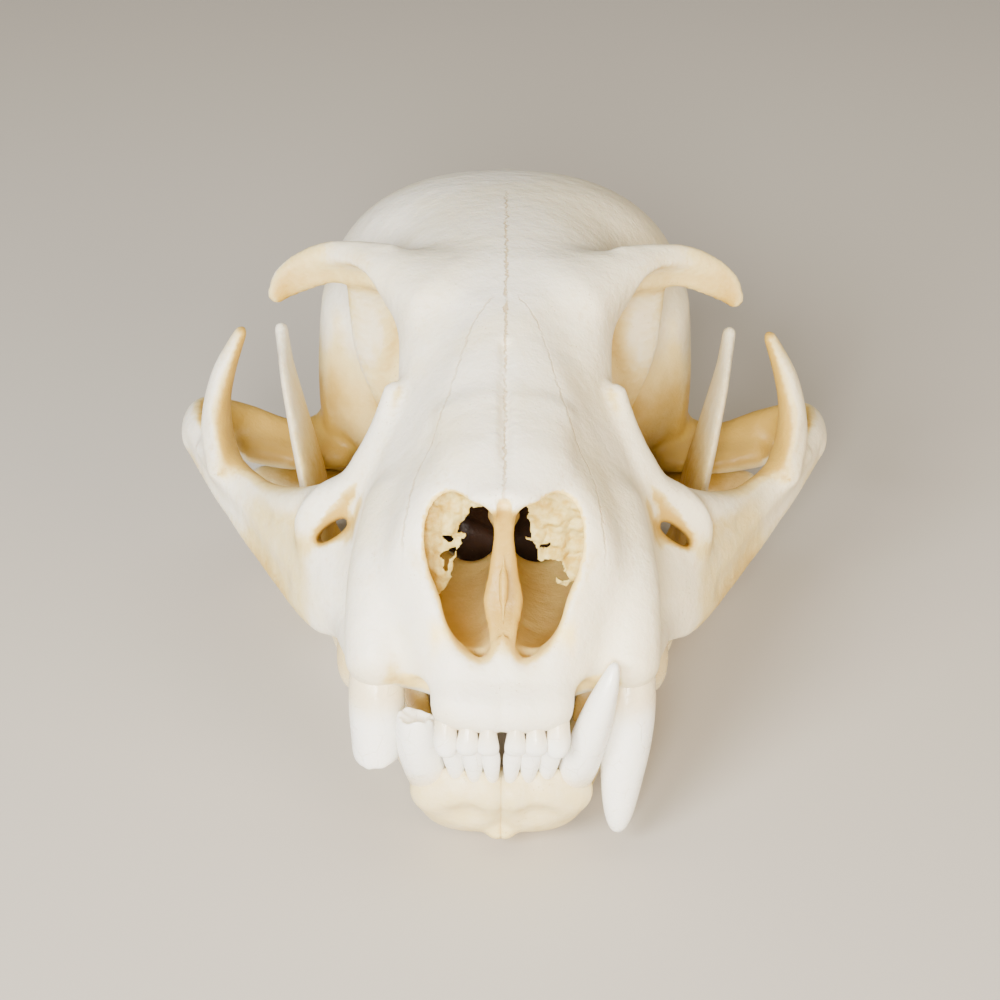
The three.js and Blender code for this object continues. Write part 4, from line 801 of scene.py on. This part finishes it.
# Finishes, all from object coordinates turned back to the skull's own millimetres.
class Graph:
    def __init__(self, name):
        self.material = bpy.data.materials.new(name)
        self.material.use_nodes = True
        self.tree = self.material.node_tree
        self.shader = self.tree.nodes["Principled BSDF"]
        coordinates = self.tree.nodes.new("ShaderNodeTexCoord")
        mapping = self.tree.nodes.new("ShaderNodeMapping")
        a = math.radians(pose["tilt"])
        sx, sy, sz = pose["shift"]
        mapping.inputs["Location"].default_value = (-sx, -(sy * math.cos(a) - sz * math.sin(a)),
                                                    -(sy * math.sin(a) + sz * math.cos(a)))
        mapping.inputs["Rotation"].default_value = (a, 0, 0)
        mapping.inputs["Scale"].default_value = (1000, 1000, 1000)
        self.tree.links.new(coordinates.outputs["Object"], mapping.inputs["Vector"])
        self.place = mapping.outputs["Vector"]
        split = self.tree.nodes.new("ShaderNodeSeparateXYZ")
        self.link(self.place, split.inputs[0])
        self.x, self.y, self.z = split.outputs

    def link(self, source, target):
        if hasattr(source, "is_linked"):
            self.tree.links.new(source, target)
        else:
            target.default_value = source

    def math(self, kind, a, b=0.0):
        node = self.tree.nodes.new("ShaderNodeMath")
        node.operation = kind
        for socket, value in zip(node.inputs, (a, b)):
            self.link(value, socket)
        return node.outputs[0]

    def noise(self, scale, detail=3, rough=0.55):
        node = self.tree.nodes.new("ShaderNodeTexNoise")
        self.link(self.place, node.inputs["Vector"])
        for key, value in (("Scale", scale), ("Detail", detail), ("Roughness", rough)):
            node.inputs[key].default_value = value
        return node.outputs["Fac"]

    def cells(self, scale, feature="F1"):
        node = self.tree.nodes.new("ShaderNodeTexVoronoi")
        node.feature = feature
        self.link(self.place, node.inputs["Vector"])
        node.inputs["Scale"].default_value = scale
        return node.outputs["Distance"]

    def range(self, value, low, high, toLow=0.0, toHigh=1.0, kind="SMOOTHSTEP"):
        node = self.tree.nodes.new("ShaderNodeMapRange")
        node.interpolation_type = kind
        for socket, v in zip(node.inputs, (value, low, high, toLow, toHigh)):
            self.link(v, socket)
        return node.outputs[0]

    def mix(self, amount, a, b, kind="MIX"):
        node = self.tree.nodes.new("ShaderNodeMix")
        node.data_type = "RGBA"
        node.blend_type = kind
        self.link(amount, node.inputs[0])
        for socket, colour in ((node.inputs[6], a), (node.inputs[7], b)):
            self.link((*colour, 1) if isinstance(colour, tuple) else colour, socket)
        return node.outputs[2]

    def curve(self, value, points, low, high):
        node = self.tree.nodes.new("ShaderNodeFloatCurve")
        line = node.mapping.curves[0]
        spread = [((a - low) / (high - low), b) for a, b in points]
        line.points[0].location, line.points[1].location = spread[0], spread[-1]
        for spot in spread[1:-1]:
            line.points.new(*spot)
        node.mapping.update()
        self.link(self.range(value, low, high, 0.0, 1.0, "LINEAR"), node.inputs["Value"])
        return node.outputs[0]

    def attribute(self, name):
        node = self.tree.nodes.new("ShaderNodeAttribute")
        node.attribute_name = name
        return node.outputs["Fac"]

    def bump(self, height, distance, strength):
        node = self.tree.nodes.new("ShaderNodeBump")
        node.inputs["Distance"].default_value = distance / 1000
        node.inputs["Strength"].default_value = strength
        self.link(height, node.inputs["Height"])
        return node.outputs[0]

    def glowInside(self, weight, radius, scale):
        self.shader.inputs["Subsurface Weight"].default_value = weight
        self.shader.inputs["Subsurface Radius"].default_value = radius
        self.shader.inputs["Subsurface Scale"].default_value = scale / 1000


# Bone colours. Ivory is the bone's own tone; cream and grey are its own tones too, and also paint side
# light and shade. Tan, gold and the dark colour are painted shade; the nose colour is painted warm light
# inside the nose; suture colours the seams and pores.
bone = {
    "ivory": (0.855, 0.80, 0.665),
    "creamToneAndSideLight": (0.81, 0.71, 0.46),
    "greyToneAndShade": (0.70, 0.67, 0.59),
    "shadeTan": (0.72, 0.56, 0.215),
    "shadeGold": (0.50, 0.31, 0.05),
    "nose": (1.0, 0.76, 0.27),
    "shadowDark": (0.035, 0.012, 0.004),
    "suture": (0.50, 0.36, 0.15),
}


def boneMaterial():
    g = Graph("bone")
    wide = g.noise(0.06, 4)
    fine = g.noise(0.5, 5, 0.6)
    colour = g.mix(g.range(wide, 0.40, 0.62, 0, 0.7), bone["ivory"], bone["creamToneAndSideLight"])
    colour = g.mix(g.range(g.noise(0.11, 3), 0.5, 0.75, 0, 0.3), colour, bone["greyToneAndShade"])
    # greyer towards the top of the head: painted shade
    colour = g.mix(g.range(g.z, 30, 44, 0, 0.3), colour, bone["greyToneAndShade"])
    # creamier towards the animal's left side: painted warm side light
    colour = g.mix(g.range(g.x, -2, 14, 0, 0.6), colour, bone["creamToneAndSideLight"])
    # the painted warm shade, broken up with noise, turns the bone tan and then gold; creases take gold
    # painted shade too
    paintedWarmShade = g.math("ADD", g.attribute("paintedWarmShade"), g.math("MULTIPLY", g.math("SUBTRACT", fine, 0.5), 0.3))
    paintedWarmShade = g.math("ADD", paintedWarmShade, g.math("MULTIPLY", g.math("SUBTRACT", wide, 0.5), 0.25))
    colour = g.mix(g.range(paintedWarmShade, 0.05, 0.5, 0, 0.9), colour, bone["shadeTan"])
    colour = g.mix(g.range(paintedWarmShade, 0.4, 1.0), colour, bone["shadeGold"])
    colour = g.mix(g.math("MULTIPLY", g.attribute("creaseShade"), 0.45), colour, bone["shadeGold"])
    # painted warm bounce light inside the nose
    inNose = g.math("MULTIPLY", g.attribute("nose"), g.range(fine, 0.3, 0.6, 1, 0.86))
    colour = g.mix(inNose, colour, bone["nose"])
    # painted shadow at the nose's far end
    colour = g.mix(g.attribute("deep"), colour, bone["shadowDark"])
    # seams: one along the middle of the forehead and one on each side of the nasal bones
    wave = g.math("MULTIPLY", g.math("SUBTRACT", g.noise(0.9, 4, 0.7), 0.5), 1.6)
    onTop = g.math("MULTIPLY", g.range(g.z, 24, 27), g.range(g.y, 76, 70))
    middle = g.math("ABSOLUTE", g.math("ADD", g.x, wave))
    midLine = g.math("MULTIPLY", g.range(middle, 0.22, 0.06), onTop)
    beside = [(12, 1.0), (15.4, 0.95), (20, 0.85), (24, 0.68), (30, 0.53), (34.5, 0.43), (38, 0.34),
              (42, 0.13)]
    beside = g.math("MULTIPLY", g.curve(g.y, beside, 12, 42), 12)
    offset = g.math("SUBTRACT", g.math("ABSOLUTE", g.x), beside)
    offset = g.math("ADD", offset, g.math("MULTIPLY", wave, 0.7))
    sideLine = g.math("MULTIPLY", g.range(g.math("ABSOLUTE", offset), 0.2, 0.05), g.range(g.y, 43, 41.5))
    sideLine = g.math("MULTIPLY", sideLine, g.range(g.z, 16, 20))
    seam = g.math("MAXIMUM", midLine, g.math("MULTIPLY", sideLine, 0.55))
    seam = g.math("MULTIPLY", seam, g.range(g.noise(0.35, 2), 0.32, 0.5, 0.35, 1))
    colour = g.mix(g.math("MULTIPLY", seam, 0.75), colour, bone["suture"])
    pores = g.range(g.cells(1.6), 0.16, 0.06)
    pores = g.math("MULTIPLY", pores, g.range(g.noise(0.16, 2), 0.5, 0.62))
    colour = g.mix(g.math("MULTIPLY", pores, 0.5), colour, bone["suture"])
    g.link(colour, g.shader.inputs["Base Color"])
    g.link(g.range(fine, 0.3, 0.7, 0.42, 0.6), g.shader.inputs["Roughness"])
    height = g.math("ADD", g.noise(0.35, 5, 0.6), g.math("MULTIPLY", g.noise(2.2, 3), 0.16))
    height = g.math("SUBTRACT", height, g.math("MULTIPLY", seam, 0.5))
    height = g.math("SUBTRACT", height, g.math("MULTIPLY", pores, 0.4))
    g.link(g.bump(height, 0.5, 0.55), g.shader.inputs["Normal"])
    g.glowInside(0.12, (1.0, 0.55, 0.25), 3)
    return g.material


sheet = {"pale": (0.62, 0.50, 0.17), "amber": (0.50, 0.34, 0.055)}


def sheetMaterial():
    g = Graph("sheet")
    mottle = g.noise(0.7, 4, 0.6)
    colour = g.mix(g.range(mottle, 0.42, 0.66), sheet["pale"], sheet["amber"])
    g.link(colour, g.shader.inputs["Base Color"])
    g.shader.inputs["Roughness"].default_value = 0.6
    g.link(g.bump(g.noise(1.2, 4), 0.3, 0.6), g.shader.inputs["Normal"])
    g.glowInside(0.08, (1.0, 0.7, 0.3), 2)
    return g.material


enamel = {"crown": (0.90, 0.88, 0.80), "neck": (0.80, 0.69, 0.46), "crack": (0.60, 0.48, 0.30)}


def enamelMaterial(name, rootAt, tipAt, crown=enamel["crown"], neck=enamel["neck"]):
    g = Graph(name)
    streak = g.noise(0.5, 4)
    toNeck = g.range(g.math("ADD", g.z, g.math("MULTIPLY", streak, 1.5)), rootAt, tipAt)
    colour = g.mix(toNeck, neck, crown)
    cracks = g.range(g.cells(0.28, "DISTANCE_TO_EDGE"), 0.02, 0.0)
    cracks = g.math("MULTIPLY", cracks, g.range(g.noise(0.4, 2), 0.45, 0.6))
    colour = g.mix(g.math("MULTIPLY", cracks, 0.3), colour, enamel["crack"])
    g.link(colour, g.shader.inputs["Base Color"])
    g.link(g.range(streak, 0.3, 0.7, 0.2, 0.34), g.shader.inputs["Roughness"])
    height = g.math("SUBTRACT", g.math("MULTIPLY", g.noise(0.8, 3), 0.5), g.math("MULTIPLY", cracks, 0.2))
    g.link(g.bump(height, 0.25, 0.6), g.shader.inputs["Normal"])
    g.glowInside(0.15, (1.0, 0.7, 0.4), 2)
    return g.material


boneFinish = boneMaterial()
sheetFinish = sheetMaterial()
upperEnamel = enamelMaterial("upperEnamel", 1.5, -2.5)
lowerEnamel = enamelMaterial("lowerEnamel", -10, -6.5)
# the cheek teeth take darker, golden copies of the enamel: painted shade and warm bounce light, as they sit
# in shade
shadedUpperCheekEnamel = enamelMaterial("shadedUpperCheekEnamel", -1, -5, (0.80, 0.69, 0.42), (0.78, 0.60, 0.28))
lowerCheekEnamel = enamelMaterial("lowerCheekEnamel", -4.4, -2.4, (0.84, 0.74, 0.50), (0.74, 0.47, 0.12))
for piece in made:
    if "Bone" in piece.name:
        piece.data.materials.append(boneFinish)
    elif "Sheet" in piece.name:
        piece.data.materials.append(sheetFinish)
    elif "Cheek" in piece.name:
        piece.data.materials.append(lowerCheekEnamel if "lower" in piece.name else shadedUpperCheekEnamel)
    else:
        piece.data.materials.append(lowerEnamel if "lower" in piece.name else upperEnamel)
print("finishes", len(made))

# floor, lights and camera
bpy.ops.mesh.primitive_plane_add(size=6, location=(0, 0, 0))
floor = bpy.context.object
floor.name = "floor"
paper = bpy.data.materials.new("paper")
paper.use_nodes = True
paper.node_tree.nodes["Principled BSDF"].inputs["Base Color"].default_value = (0.50, 0.46, 0.40, 1)
paper.node_tree.nodes["Principled BSDF"].inputs["Roughness"].default_value = 0.7
floor.data.materials.append(paper)

world = bpy.data.worlds.new("studio")
world.use_nodes = True
world.node_tree.nodes["Background"].inputs["Color"].default_value = (1.0, 0.92, 0.79, 1)
world.node_tree.nodes["Background"].inputs["Strength"].default_value = 0.20
bpy.context.scene.world = world


def softbox(name, place, aim, size, power, colour):
    bpy.ops.object.light_add(type="AREA", location=place)
    light = bpy.context.object
    light.name = name
    light.data.shape = "DISK"
    light.data.size = size
    light.data.energy = power
    light.data.color = colour
    light.rotation_euler = (Vector(aim) - Vector(place)).to_track_quat("-Z", "Y").to_euler()


softbox("keyLight", (-0.28, -0.48, 0.32), (0, -0.02, 0.03), 0.28, 7.4, (1.0, 0.99, 0.97))
softbox("topLight", (0.06, 0.12, 0.60), (0, 0, 0.03), 0.46, 1.2, (1.0, 0.97, 0.90))
softbox("fillLight", (0.34, -0.40, 0.20), (0, 0, 0.03), 0.30, 2.2, (1.0, 0.77, 0.46))
softbox("frontLight", (-0.05, -0.62, 0.27), (0, -0.04, 0.03), 0.16, 8.0, (1.0, 0.97, 0.92))

view = {
    "lens": 88.202,
    "distance": 321.402,
    "elevation": 0.40129709,  # above the palate's plane, radians
    "roll": 0.00984653,
    "aim": (-0.502, 45.820, 10.755),
}
e, roll = view["elevation"], view["roll"]
back3 = Vector((0, -math.cos(e), math.sin(e)))
right, up = Vector((1, 0, 0)), Vector((0, math.sin(e), math.cos(e)))
turned = (right * math.cos(roll) + up * math.sin(roll), up * math.cos(roll) - right * math.sin(roll), back3)
tilt = Matrix.Rotation(-math.radians(pose["tilt"]), 3, "X")
axes3 = [tilt @ v for v in turned]
spot = toRow([Vector(view["aim"]) + back3 * view["distance"]])[0]
camera = bpy.data.cameras.new("camera")
camera.sensor_width = 36
camera.lens = view["lens"]
camera.clip_start = 0.01
holder = bpy.data.objects.new("camera", camera)
bpy.context.collection.objects.link(holder)
holder.matrix_world = Matrix([[axes3[c][r] for c in range(3)] + [spot[r]] for r in range(3)]
                             + [[0, 0, 0, 1]])
bpy.context.scene.camera = holder
